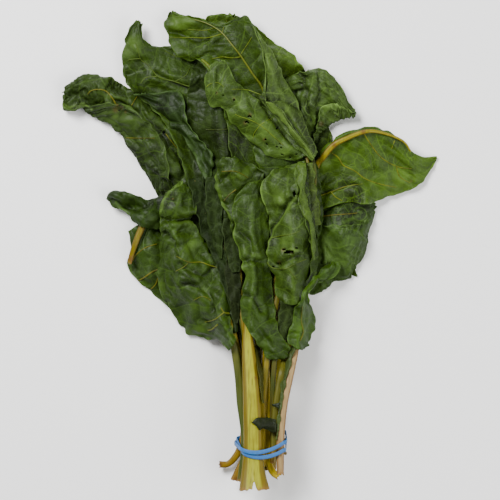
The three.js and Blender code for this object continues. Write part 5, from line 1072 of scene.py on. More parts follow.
class Wiring:
    """A material's nodes, made and joined in a few words."""

    def __init__(self, name: str) -> None:
        """Start a material with an empty tree.

        Args:
            name: name of the material.
        """
        self.material = bpy.data.materials.new(name)
        self.material.use_nodes = True
        self.tree = self.material.node_tree
        self.tree.nodes.clear()
        self.place = self.node("TexCoord").outputs["Object"]

    def node(
        self, kind: str, inputs: Optional[dict[object, object]] = None, **settings: object
    ) -> bpy.types.Node:
        """Add a shader node.

        Args:
            kind: its type, as it stands after ShaderNode.
            inputs: under the name or number of a socket, the output to join it to or its value.
            **settings: its properties.

        Returns:
            The node.
        """
        node = self.tree.nodes.new(f"ShaderNode{kind}")
        for key, value in settings.items():
            setattr(node, key, value)
        for key, value in (inputs or {}).items():
            if isinstance(value, bpy.types.NodeSocket):
                self.tree.links.new(value, node.inputs[key])
            else:
                node.inputs[key].default_value = value
        return node

    def number(self, key: str) -> bpy.types.NodeSocket:
        """Read a number that the mesh holds for each corner."""
        return self.node("Attribute", attribute_name=key).outputs["Fac"]

    def maths(self, operation: str, *values: object) -> bpy.types.NodeSocket:
        """Do a sum with the values and keep the result from 0 to 1."""
        node = self.node("Math", dict(enumerate(values)), operation=operation, use_clamp=True)
        return node.outputs[0]

    def times(self, first: object, second: object) -> bpy.types.NodeSocket:
        """Multiply two shares."""
        return self.maths("MULTIPLY", first, second)

    def noise(
        self, size: float, detail: float = 3.0, stretch: Sequence[float] = (1, 1, 1)
    ) -> bpy.types.NodeSocket:
        """Make soft noise.

        Args:
            size: of its features, in millimetres.
            detail: how fine it gets.
            stretch: how much smaller the features are along each axis.

        Returns:
            Its value, from 0 to 1.
        """
        mapping = self.node("Mapping", {"Vector": self.place, "Scale": stretch})
        inputs = {"Vector": mapping.outputs[0], "Scale": 1 / (size * METRE), "Detail": detail}
        return self.node("TexNoise", inputs).outputs["Fac"]

    def webbing(self, size: float) -> bpy.types.NodeSocket:
        """Lay a net of uneven cells.

        Args:
            size: of the cells, in millimetres.

        Returns:
            The distance to the nearest border of a cell, in cells.
        """
        bend = self.node("TexNoise", {"Vector": self.place, "Scale": 1 / (1.5 * size * METRE)})
        inputs = {0: bend.outputs["Color"], "Scale": 0.9 * size * METRE}
        push = self.node("VectorMath", inputs, operation="SCALE")
        place = self.node("VectorMath", {0: self.place, 1: push.outputs[0]}, operation="ADD")
        inputs = {"Vector": place.outputs[0], "Scale": 1 / (size * METRE)}
        return self.node("TexVoronoi", inputs, feature="DISTANCE_TO_EDGE").outputs["Distance"]

    def between(self, value: object, low: float, high: float) -> bpy.types.NodeSocket:
        """Turn a value into a share.

        Args:
            value: the value.
            low: where the share is 0; it may be the greater one.
            high: where the share is 1.

        Returns:
            The share, smooth between the two.
        """
        inputs = {"Value": value, "From Min": min(low, high), "From Max": max(low, high)}
        inputs["To Min"], inputs["To Max"] = (1.0, 0.0) if low > high else (0.0, 1.0)
        return self.node("MapRange", inputs, interpolation_type="SMOOTHSTEP").outputs["Result"]

    def mix(self, share: object, first: object, second: object) -> bpy.types.NodeSocket:
        """Mix two colours, with this share of the second."""
        inputs = {"Factor": share, "A": first, "B": second}
        return self.node("Mix", inputs, data_type="RGBA").outputs["Result"]

    def bump(
        self, height: object, depth: float, strength: float, under: object = None
    ) -> bpy.types.NodeSocket:
        """Roughen the surface.

        Args:
            height: from 0 to 1.
            depth: in millimetres, for a height of 1.
            strength: how much it shows.
            under: the normal that it roughens.

        Returns:
            The new normal.
        """
        inputs = {"Strength": strength, "Distance": depth * METRE, "Height": height}
        if under is not None:
            inputs["Normal"] = under
        return self.node("Bump", inputs).outputs["Normal"]

    def surface(
        self, colour: object, roughness: object, normal: object, ior: float = 1.5
    ) -> bpy.types.Material:
        """Finish the material with its surface shader.

        Args:
            colour: its colour.
            roughness: from 0 to 1.
            normal: its normal.
            ior: its index of refraction, which is greater for a glossier surface.

        Returns:
            The material.
        """
        inputs = {"Base Color": colour, "Roughness": roughness, "Normal": normal, "IOR": ior}
        shader = self.node("BsdfPrincipled", inputs)
        self.node("OutputMaterial", {"Surface": shader.outputs[0]})
        return self.material


@dataclass(frozen=True)
class LeafFinish:
    """Waxy green leaf with a net of small veins and a few rusty specks, under painted light and shade:
    highlights on its rims, lit and shaded patches, and shade in its hollows and creases.

    The sizes are those of each pattern's features, in millimetres.
    """

    name: str
    green: tuple[int, int, int]
    gloss: float = 1.25  # index of refraction of its wax
    rust: tuple[int, int, int] = (80, 74, 36)
    patch: float = 26.0
    cloud: float = 5.0
    fine_net: float = 4.2
    wide_net: float = 9.5
    speck: float = 3.2
    sheen: float = 9.0
    grain: float = 1.4

    def shade(self, strength: float, lift: float = 0.0) -> tuple[float, float, float, float]:
        """The leaf's green, stronger or weaker, as a linear colour."""
        return linear([min(255.0, strength * c + lift) for c in self.green])

    def build(self) -> bpy.types.Material:
        """Make the material.

        Returns:
            The material.
        """
        w = Wiring(self.name)
        vein, dark, rust = self.shade(1.35, 12), self.shade(0.68), linear(self.rust)
        patches = w.between(w.noise(self.patch), 0.32, 0.7)
        colour = w.mix(patches, self.shade(0.96), self.shade(1.12, 2))
        # Painted light where the tone is above 0, painted shade where it is below 0.
        colour = w.mix(w.between(w.number("tone"), 0.0, 1.0), colour, self.shade(1.3, 19))
        colour = w.mix(w.between(w.number("tone"), 0.0, -1.0), colour, self.shade(0.48))
        colour = w.mix(w.times(w.between(w.noise(self.cloud, 4), 0.5, 0.75), 0.3), colour, dark)
        # Painted shade in the hollows between the blisters.
        colour = w.mix(w.times(w.number("hollow"), 0.6), colour, dark)
        net = w.webbing(self.fine_net)
        for lines, strength in (
            (w.between(net, 0.07, 0.0), 0.2),
            (w.between(w.webbing(self.wide_net), 0.045, 0.01), 0.32),
            (w.between(w.maths("PINGPONG", w.number("phase"), 0.5), 0.045, 0.015), 0.42),
        ):
            colour = w.mix(w.times(lines, strength), colour, vein)
        colour = w.mix(w.number("vein"), colour, vein)
        # Painted highlights along the margin and the rims.
        colour = w.mix(w.number("rim"), colour, self.shade(1.5, 30))
        specks = w.times(w.between(w.noise(self.speck, 2), 0.76, 0.8), 0.5)
        colour = w.mix(w.number("rust"), w.mix(specks, colour, rust), rust)
        roughness = w.maths("ADD", w.times(w.noise(self.sheen), 0.2), 0.42)
        normal = w.bump(w.between(net, 0.0, 0.3), 0.25, 0.5)
        normal = w.bump(w.noise(self.grain), 0.06, 0.4, normal)
        return w.surface(colour, roughness, normal, self.gloss)


@dataclass(frozen=True)
class StalkFinish:
    """Moist ribbed stalk: a core colour, its flanks, fine fibres and a dry brown cut.

    The sizes are those of each pattern's features, in millimetres.
    """

    name: str
    core: tuple[int, int, int]
    flank: tuple[int, int, int]
    upper: tuple[int, int, int] = (60, 72, 22)
    cut: tuple[int, int, int] = (122, 88, 40)
    rust: tuple[int, int, int] = (84, 54, 16)
    core_width: float = 0.5
    fibre: float = 1.6
    patch: float = 14.0
    dryness: float = 3.0
    gloss: float = 1.28

    def build(self) -> bpy.types.Material:
        """Make the material.

        Returns:
            The material.
        """
        w = Wiring(self.name)
        flank, darker = linear(self.flank), linear([int(c * 0.78) for c in self.flank])
        sideways = w.maths("ABSOLUTE", w.number("across"))
        border = w.between(sideways, self.core_width, self.core_width + 0.16)
        colour = w.mix(border, linear(self.core), flank)
        colour = w.mix(w.times(w.number("upper"), 0.8), colour, linear(self.upper))
        fibres = w.noise(self.fibre, 3, (1, 0.05, 1))
        colour = w.mix(w.times(w.between(fibres, 0.48, 0.7), 0.5), colour, darker)
        patches = w.between(w.noise(self.patch, 2), 0.5, 0.72)
        colour = w.mix(w.times(patches, 0.3), colour, flank)
        dry = w.times(w.number("cut"), w.between(w.noise(self.dryness), 0.3, 0.6))
        colour = w.mix(dry, colour, linear(self.cut))
        colour = w.mix(w.number("rust"), colour, linear(self.rust))
        roughness = w.maths("ADD", w.times(fibres, 0.2), 0.36)
        return w.surface(colour, roughness, w.bump(fibres, 0.5, 0.5), self.gloss)


@dataclass(frozen=True)
class VeinFinish:
    """Raised veins, yellow green, browner in places."""

    name: str
    colour: tuple[int, int, int]
    patch: float = 7.0
    grain: float = 0.8

    def build(self) -> bpy.types.Material:
        """Make the material.

        Returns:
            The material.
        """
        w = Wiring(self.name)
        darker = linear([int(c * 0.7) for c in self.colour])
        colour = w.mix(w.between(w.noise(self.patch), 0.45, 0.7), linear(self.colour), darker)
        return w.surface(colour, 0.5, w.bump(w.noise(self.grain), 0.1, 0.4), 1.25)


@dataclass(frozen=True)
class RubberFinish:
    """Matt pale blue rubber with a chalky bloom and fine marks across it."""

    name: str = "blue_rubber"
    blue: tuple[int, int, int] = (17, 85, 145)
    bloom: tuple[int, int, int] = (42, 110, 158)
    dust: float = 2.5
    mark: float = 0.7

    def build(self) -> bpy.types.Material:
        """Make the material.

        Returns:
            The material.
        """
        w = Wiring(self.name)
        dust = w.noise(self.dust, 5)
        chalky = w.times(w.between(dust, 0.45, 0.75), 0.5)
        colour = w.mix(chalky, linear(self.blue), linear(self.bloom))
        normal = w.bump(w.noise(self.mark, 3, (0.2, 1, 1)), 0.12, 0.5)
        return w.surface(colour, w.maths("ADD", w.times(dust, 0.2), 0.5), normal)


@dataclass(frozen=True)
class FloorFinish:
    """Plain pale studio floor."""

    name: str = "studio_floor"
    colour: tuple[float, float, float, float] = (0.95, 0.95, 0.945, 1.0)
    grain: float = 2.0

    def build(self) -> bpy.types.Material:
        """Make the material."""
        w = Wiring(self.name)
        return w.surface(self.colour, 0.8, w.bump(w.noise(self.grain, 2), 0.01, 0.05))


# ---- paths swept by geometry nodes ----


@dataclass
class Sweep:
    """Round strands along paths, thick as each path says, as one mesh."""

    name: str
    material: bpy.types.Material
    step: float = 1.5  # millimetres between rings
    sides: int = 8

    def tree(self) -> tuple[bpy.types.NodeTree, dict[str, str]]:
        """Build the node tree.

        Returns:
            The tree, and the identifier of each named input.
        """
        tree = bpy.data.node_groups.new(f"{self.name}_sweep", "GeometryNodeTree")
        face = tree.interface
        face.new_socket("Geometry", in_out="OUTPUT", socket_type="NodeSocketGeometry")
        face.new_socket("Geometry", in_out="INPUT", socket_type="NodeSocketGeometry")
        names = {}
        for label, kind in (("Step", "NodeSocketFloat"), ("Sides", "NodeSocketInt")):
            names[label] = face.new_socket(label, in_out="INPUT", socket_type=kind).identifier
        new = tree.nodes.new
        source, target = new("NodeGroupInput"), new("NodeGroupOutput")
        curve, even = new("GeometryNodeMeshToCurve"), new("GeometryNodeResampleCurve")
        radius = new("GeometryNodeSetCurveRadius")
        even.mode = "LENGTH"
        width = new("GeometryNodeInputNamedAttribute")
        width.data_type = "FLOAT"
        width.inputs["Name"].default_value = "half_width"
        ring = new("GeometryNodeCurvePrimitiveCircle")
        ring.inputs["Radius"].default_value = 1.0
        sweep = new("GeometryNodeCurveToMesh")
        sweep.inputs["Fill Caps"].default_value = True
        soft, real = new("GeometryNodeSetShadeSmooth"), new("GeometryNodeRealizeInstances")
        dress = new("GeometryNodeSetMaterial")
        dress.inputs["Material"].default_value = self.material
        joins = [
            (source, "Geometry", curve, "Mesh"), (curve, "Curve", even, "Curve"),
            (source, "Step", even, "Length"), (even, "Curve", radius, "Curve"),
            (width, "Attribute", radius, "Radius"), (source, "Sides", ring, "Resolution"),
            (radius, "Curve", sweep, "Curve"), (ring, "Curve", sweep, "Profile Curve"),
            (sweep, "Mesh", soft, "Geometry"), (soft, "Geometry", real, "Geometry"),
            (real, "Geometry", dress, "Geometry"), (dress, "Geometry", target, "Geometry"),
        ]
        if "Scale" in sweep.inputs:
            joins.append((width, "Attribute", sweep, "Scale"))
        for first, output, second, socket in joins:
            tree.links.new(first.outputs[output], second.inputs[socket])
        return tree, names

    def build(self, paths: Sequence[tuple[np.ndarray, np.ndarray]]) -> bpy.types.Object:
        """Sweep the paths.

        Args:
            paths: for each strand its (count, 3) places and its half widths, in millimetres.

        Returns:
            A plain mesh object.
        """
        mesh = bpy.data.meshes.new(f"{self.name}_paths")
        starts = np.cumsum([0] + [len(places) for places, _ in paths])
        edges = [(s + k, s + k + 1) for s, (places, _) in zip(starts, paths) for k in range(len(places) - 1)]
        mesh.from_pydata((np.concatenate([p for p, _ in paths]) * METRE).tolist(), edges, [])
        layer = mesh.attributes.new("half_width", "FLOAT", "POINT")
        layer.data.foreach_set("value", (np.concatenate([h for _, h in paths]) * METRE).astype(np.float32))
        holder = bpy.data.objects.new(f"{self.name}_holder", mesh)
        bpy.context.scene.collection.objects.link(holder)
        tree, names = self.tree()
        modifier = holder.modifiers.new("Sweep", "NODES")
        modifier.node_group = tree
        modifier[names["Step"]] = self.step * METRE
        modifier[names["Sides"]] = self.sides
        graph = bpy.context.evaluated_depsgraph_get()
        plain = bpy.data.meshes.new_from_object(holder.evaluated_get(graph))
        plain.name = self.name
        holder.modifiers.remove(modifier)
        bpy.data.objects.remove(holder)
        piece = bpy.data.objects.new(self.name, plain)
        bpy.context.scene.collection.objects.link(piece)
        return piece


# ---- the leaves ----


@dataclass(frozen=True)
class Habit:
    """How every chard blade swells, folds and frays: lengths are in millimetres."""

    swelling: float = 1.3  # size of the swellings, in blisters
    bubble: float = 0.6  # size of the bubbles on them, in blisters
    quilted: float = 40.0  # how far from the midrib the side veins quilt it
    groove: float = 2.6  # half width of the calm groove over the midrib
    calm: float = 3.0  # how far in from the margin it is calmer
    slow_wave: float = 42.0
    crease: float = 1.9  # half width of a crease
    crease_depth: float = 2.2
    lip: float = 1.1  # height of the lip beside a crease
    lip_away: float = 5.0  # how far from the crease it stands
    lip_width: float = 3.0
    ruffled: float = 15.0  # how far in from the margin it ruffles
    wander: float = 35.0  # over what length the ruffles lose step
    frayed: float = 4.0  # how far in from the margin it frays
    fray: float = 19.0  # length of the margin's slow turns
    closing: float = 7.0  # over what length a rolled blade closes at its ends
    rib: float = 1.4  # half width of the pale line over the midrib
    edge: float = 0.8  # width of the painted highlight along the margin
    rim: float = 1.1  # half width of a painted highlight rim


@dataclass
class Lie:
    """Where each point of a blade's grid lies on the leaf, in millimetres."""

    along: np.ndarray
    across: np.ndarray
    margin: np.ndarray  # distance from the nearest margin
    highlight_rims: np.ndarray  # distance from the nearest painted highlight rim
    crease: np.ndarray  # distance from the nearest crease
    creased: np.ndarray  # how much it is in a crease, from 0 to 1
    calm: np.ndarray  # how little the margin calms it, from 0 to 1
    swell: np.ndarray  # how high it is on a swelling, from 0 to 1
    rib: np.ndarray  # distance from the midrib
    phase: np.ndarray  # a number that is whole on each side vein


@dataclass
class Blade:
    """One leaf blade, or a scrap of one."""

    name: str
    node: Optional[str]
    plan: BladePlan
    look: BladeLook
    rib: Optional[Line]
    seed: int
    spacing: float = 1.4
    thickness: float = 0.45
    gap: float = 0.1  # air under it
    drape: float = 0.4  # air under a blade that has no solid
    roll_steps: int = 7
    vein_step: float = 1.5
    habit: Habit = Habit()
    grid: np.ndarray = field(init=False)

    def solid_grid(self, pile: Pile) -> tuple[np.ndarray, Optional[np.ndarray]]:
        """The grid of the blade's solid.

        Args:
            pile: what lies under the blade.

        Returns:
            Its open part, (rows, columns, 3), and its folded margin where it has one.
        """
        rows = np.stack([plan(row) for row in self.plan.rows])
        net = smooth(rows, np.linspace(0, len(rows) - 1, self.plan.steps + 1))
        flap = self.plan.flap
        flat = {Side.RIGHT: net[:, :-1], Side.LEFT: net[:, 1:]}.get(flap, net)
        places = np.linspace(0, flat.shape[1] - 1, STEPS_ACROSS + 1)
        flat = smooth(flat.transpose(1, 0, 2), places).transpose(1, 0, 2)
        open_part = self.raised(flat, False, pile)
        if flap is None:
            return open_part, None
        edge, free = (flat[:, -1], net[:, -1]) if flap is Side.RIGHT else (flat[:, 0], net[:, 0])
        margin = np.stack([edge + f * (free - edge) for f in (0, 0.5, 1)], 1)
        return open_part, self.raised(margin, True, pile)

    def raised(self, places: np.ndarray, upper: bool, pile: Pile) -> np.ndarray:
        """Give places of the solid's grid their heights.

        Args:
            places: (rows, columns, 2) places on the plan.
            upper: take the folded margin's heights.
            pile: what lies under the blade; one without a solid drapes over it.

        Returns:
            (rows, columns, 3) points.
        """
        if self.node is None:
            flat = np.concatenate([places, np.zeros(places.shape[:2] + (1,))], 2)
            flat[..., 2] = softened(spread(pile.missing(flat, self.drape, FAR), 1), 2)
            return flat
        heights = blade_heights(self.node, places.reshape(-1, 2), upper).reshape(places.shape[:2])
        missing = np.isnan(heights)
        if missing.any():
            LOG.info("%s: %d heights filled in", self.name, missing.sum())
            for column in heights.T:
                known = ~np.isnan(column)
                column[:] = np.interp(np.arange(len(column)), np.flatnonzero(known), column[known])
        return np.concatenate([places, heights[..., None]], 2)

    def smooth_grid(self, pile: Pile) -> np.ndarray:
        """Make the blade a fine smooth grid, with its folded margin rolled over.

        Args:
            pile: what lies under the blade.

        Returns:
            (rows, columns, 3) points.
        """
        open_part, margin = self.solid_grid(pile)
        steps = np.linalg.norm(np.diff(open_part, axis=0), axis=2).sum(0).max()
        width = np.linalg.norm(np.diff(open_part, axis=1), axis=2).sum(1).max()
        rows = np.linspace(0, len(open_part) - 1, max(int(steps / self.spacing), 8))
        across = np.linspace(0, STEPS_ACROSS, max(int(width / self.spacing), 8))
        flat = smooth(smooth(open_part, rows).transpose(1, 0, 2), across).transpose(1, 0, 2)
        if margin is None:
            return flat
        span = np.linalg.norm(margin[:, 2] - margin[:, 0], axis=1).max()
        over = smooth(margin, rows).transpose(1, 0, 2)
        over = smooth(over, np.linspace(0, 2, max(int(span / self.spacing), 4))).transpose(1, 0, 2)
        right = self.plan.flap is Side.RIGHT
        edge, inner = (flat[:, -1], flat[:, -2]) if right else (flat[:, 0], flat[:, 1])
        middle, half = (edge + over[:, 0]) / 2, (over[:, 0] - edge) / 2
        out = unit((edge - inner) * np.array([1, 1, 0]))
        size = np.linalg.norm(half, axis=1, keepdims=True)
        turns = np.linspace(0, math.pi, self.roll_steps)[1:-1]
        roll = np.stack([middle - half * math.cos(a) + out * size * math.sin(a) for a in turns], 1)
        if right:
            return np.concatenate([flat, roll, over], 1)
        return np.concatenate([over[:, ::-1], roll[:, ::-1], flat], 1)

    def vein_field(self, x: np.ndarray, y: np.ndarray) -> tuple[np.ndarray, np.ndarray]:
        """Where the midrib and the side veins run.

        Args:
            x: places across the plan, in millimetres.
            y: places along the plan, of the same shape.

        Returns:
            The distance from the midrib, and a number that is whole on each side vein.
        """
        if self.rib is None:
            return np.full(x.shape, FAR), y / self.look.vein_spacing
        rib = plan(self.rib)
        fine = smooth(rib, np.linspace(0, len(rib) - 1, 60))
        run = run_along(fine)
        best = np.full(x.shape, 1e9)
        reached = np.zeros(x.shape)
        for k in range(len(fine) - 1):
            step = fine[k + 1] - fine[k]
            length = max(np.hypot(*step), 1e-9)
            share = np.clip(((x - fine[k, 0]) * step[0] + (y - fine[k, 1]) * step[1]) / length**2, 0, 1)
            away = np.hypot(x - fine[k, 0] - share * step[0], y - fine[k, 1] - share * step[1])
            reached = np.where(away < best, run[k] + share * length, reached)
            best = np.minimum(best, away)
        bend = 0.65 * best + 0.006 * best**2
        phase = (reached - bend) / self.look.vein_spacing + 0.22 * waves(x, y, 50, self.seed + 2)
        return best, phase

    def pillows(self, x: np.ndarray, y: np.ndarray, scale: float) -> np.ndarray:
        """Make rounded swellings between sharp valleys.

        Args:
            x: places across, in millimetres.
            y: places along, of the same shape.
            scale: their size, in blisters.

        Returns:
            Their height, from 0 to 1.
        """
        near, second = scattered(x, y, scale * self.look.blister_size, self.seed)
        rise = np.clip(1.4 * (second - near), 0, 1)
        return np.sin(rise * math.pi / 2)

    def measured(self, grid: np.ndarray) -> Lie:
        """Measure where each point of the grid lies on the leaf.

        Args:
            grid: (rows, columns, 3) points.

        Returns:
            What was measured.
        """
        x, y = grid[..., 0], grid[..., 1]
        along = np.linalg.norm(np.diff(grid, axis=0, prepend=grid[:1]), axis=2).cumsum(0)
        across = np.linalg.norm(np.diff(grid, axis=1, prepend=grid[:, :1]), axis=2).cumsum(1)
        margin = np.minimum(np.minimum(across, across[:, -1:] - across), along[-1:] - along)
        highlight_rims = distance_to([plan(line) for line in self.look.highlight_rims], x, y)
        crease = distance_to([plan(line) for line in self.look.creases], x, y)
        creased = np.exp(-((crease / self.habit.crease) ** 2))
        calm = 1 - 0.7 * np.exp(-margin / self.habit.calm)
        swell = self.pillows(x, y, self.habit.swelling)
        return Lie(along, across, margin, highlight_rims, crease, creased, calm, swell, *self.vein_field(x, y))

    def relief(self, grid: np.ndarray, lie: Lie) -> np.ndarray:
        """Swell, fold, crease and ruffle the blade.

        Args:
            grid: (rows, columns, 3) points.
            lie: where they lie on the leaf.

        Returns:
            How far each point is pushed out.
        """
        look, habit = self.look, self.habit
        x, y = grid[..., 0], grid[..., 1]
        quilt = (np.abs(np.sin(math.pi * lie.phase)) ** 0.7 - 0.6) * np.exp(-lie.rib / habit.quilted)
        height = quilt + 0.9 * (lie.swell - 0.5) + 0.16 * (self.pillows(x, y, habit.bubble) - 0.5)
        height *= look.blister * lie.calm * (1 - 0.8 * np.exp(-((lie.rib / habit.groove) ** 2)))
        folds = np.abs(waves(lie.across, 0.3 * lie.along, look.fold_length, self.seed + 7))
        slow = waves(x, y, habit.slow_wave, self.seed + 9)
        height += look.fold * ((0.5 - folds) * lie.calm + 0.5 * slow)
        lip = np.exp(-(((lie.crease - habit.lip_away) / habit.lip_width) ** 2))
        height += habit.lip * lip - habit.crease_depth * lie.creased
        loose = np.clip(1 - lie.margin / habit.ruffled, 0, 1) ** 2
        turns = 2 * math.pi * (lie.along + lie.across) / look.ruffle_length
        height += look.ruffle * loose * np.sin(turns + 1.8 * waves(x, y, habit.wander, self.seed + 3))
        return height

    def frayed(self, grid: np.ndarray, lie: Lie) -> np.ndarray:
        """Arch a rolled blade, and let the margins wander.

        Args:
            grid: (rows, columns, 3) points.
            lie: where they lie on the leaf.

        Returns:
            The moved points.
        """
        look, habit = self.look, self.habit
        outward, full = unit(grid[:, -1:] - grid[:, :1]), lie.across[:, -1:]
        if look.arch:
            ends = np.clip(np.minimum(lie.along, lie.along[-1:] - lie.along) / habit.closing, 0, 1)
            share = 2 * lie.across / np.maximum(full, TINY) - 1
            grid[..., 2] += look.arch * np.sqrt(np.clip(1 - share**2, 0, 1)) * np.sqrt(ends)
        side = np.where(lie.across < full / 2, -1, 1) * np.exp(-lie.margin / habit.frayed)
        push = look.jag * side * waves(lie.along, lie.across, habit.fray, self.seed + 5)
        return grid + outward * push[..., None]

    def shape(self, pile: Pile) -> dict[str, np.ndarray]:
        """Shape the fine grid and lay it on the pile.

        Args:
            pile: what lies under the blade.

        Returns:
            The numbers that the finish reads, over the grid.
        """
        look, habit = self.look, self.habit
        grid = self.smooth_grid(pile)
        lie = self.measured(grid)
        grid = self.frayed(grid + grid_normals(grid) * self.relief(grid, lie)[..., None], lie)
        half = [0, 0, self.thickness / 2]
        need = pile.missing(grid - half, self.gap, look.climb)
        if need.any():
            grid[..., 2] += softened(spread(need, 3), 3)
        self.grid = grid
        pile.add(grid + half)
        # Painted shade in the creases.
        tone = -0.8 * lie.creased
        # Then the listed patches of painted light and painted shade.
        for px, py, reach, change in look.painted_light_and_shade:
            tone += change * np.exp(-(away_from(grid, (px, py), reach) ** 2))
        # Painted highlights along the margin and the listed rims.
        edge = 0.3 * np.exp(-((lie.margin / habit.edge) ** 2))
        return {
            "phase": lie.phase,
            "vein": 0.4 * np.exp(-((lie.rib / habit.rib) ** 2)),
            # Painted shade in the hollows between the swellings.
            "hollow": np.clip(1 - lie.swell, 0, 1) * lie.calm,
            "rim": np.clip(edge + 0.55 * np.exp(-((lie.highlight_rims / habit.rim) ** 2)), 0, 1),
            "rust": spots(grid, look.rust),
            "tone": tone,
        }

    def kept(self) -> np.ndarray:
        """Leave out the squares that lie in holes.

        Returns:
            Whether each square of the grid is there.
        """
        middles = (self.grid[:-1, :-1] + self.grid[1:, 1:]) / 2
        keep = np.ones(middles.shape[:2], dtype=bool)
        for px, py, half_width, half_height in self.look.holes:
            off = (middles[..., :2] - plan((px, py))[0]) / SQUARE
            keep &= np.hypot(off[..., 0] / half_width, off[..., 1] / half_height) > 1
        return keep

    def build(self, pile: Pile) -> bpy.types.Object:
        """Make the blade and lay it on the pile.

        Args:
            pile: what lies under it.

        Returns:
            The piece.
        """
        values = self.shape(pile)
        offset = grid_normals(self.grid) * (self.thickness / 2)
        corners = np.concatenate([(self.grid + offset).reshape(-1, 3), (self.grid - offset).reshape(-1, 3)])
        doubled = {key: np.concatenate([v.ravel(), v.ravel()]) for key, v in values.items()}
        finish = LeafFinish(f"{self.name}_wax", self.look.green, self.look.gloss)
        piece = make_piece(self.name, corners, sheet_faces(self.kept()).tolist(), doubled, finish.build())
        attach(piece, "root")
        if self.node is not None:
            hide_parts(self.node)
        return piece

    def height_at(self, places: np.ndarray) -> np.ndarray:
        """Find the blade's top.

        Args:
            places: (count, 2) places on the plan.

        Returns:
            A height for each place.
        """
        flat = self.grid.reshape(-1, 3)
        heights = np.empty(len(places))
        for k, place in enumerate(places):
            off = np.hypot(*(flat[:, :2] - place).T)
            near = off < max(1.3, off.min() + 0.4)
            heights[k] = flat[near, 2].max()
        return heights + self.thickness / 2

    def build_veins(self) -> Optional[bpy.types.Object]:
        """Make the raised veins on the blade.

        Returns:
            The piece, or nothing where it has none.
        """
        if not self.look.veins:
            return None
        paths = []
        for half_width, line in self.look.veins:
            points = plan(line)
            count = max(int(run_along(points)[-1] / self.vein_step), 3)
            fine = smooth(points, np.linspace(0, len(points) - 1, count))
            heights = softened(self.height_at(fine)[:, None], 1)[:, 0]
            taper = half_width * np.linspace(1, 0.55, count)
            paths.append((np.column_stack([fine, heights - 0.35 * taper]), taper))
        finish = VeinFinish(f"{self.name}_vein", self.look.vein_colour)
        piece = Sweep(f"{self.name}_veins", finish.build()).build(paths)
        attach(piece, "root")
        return piece


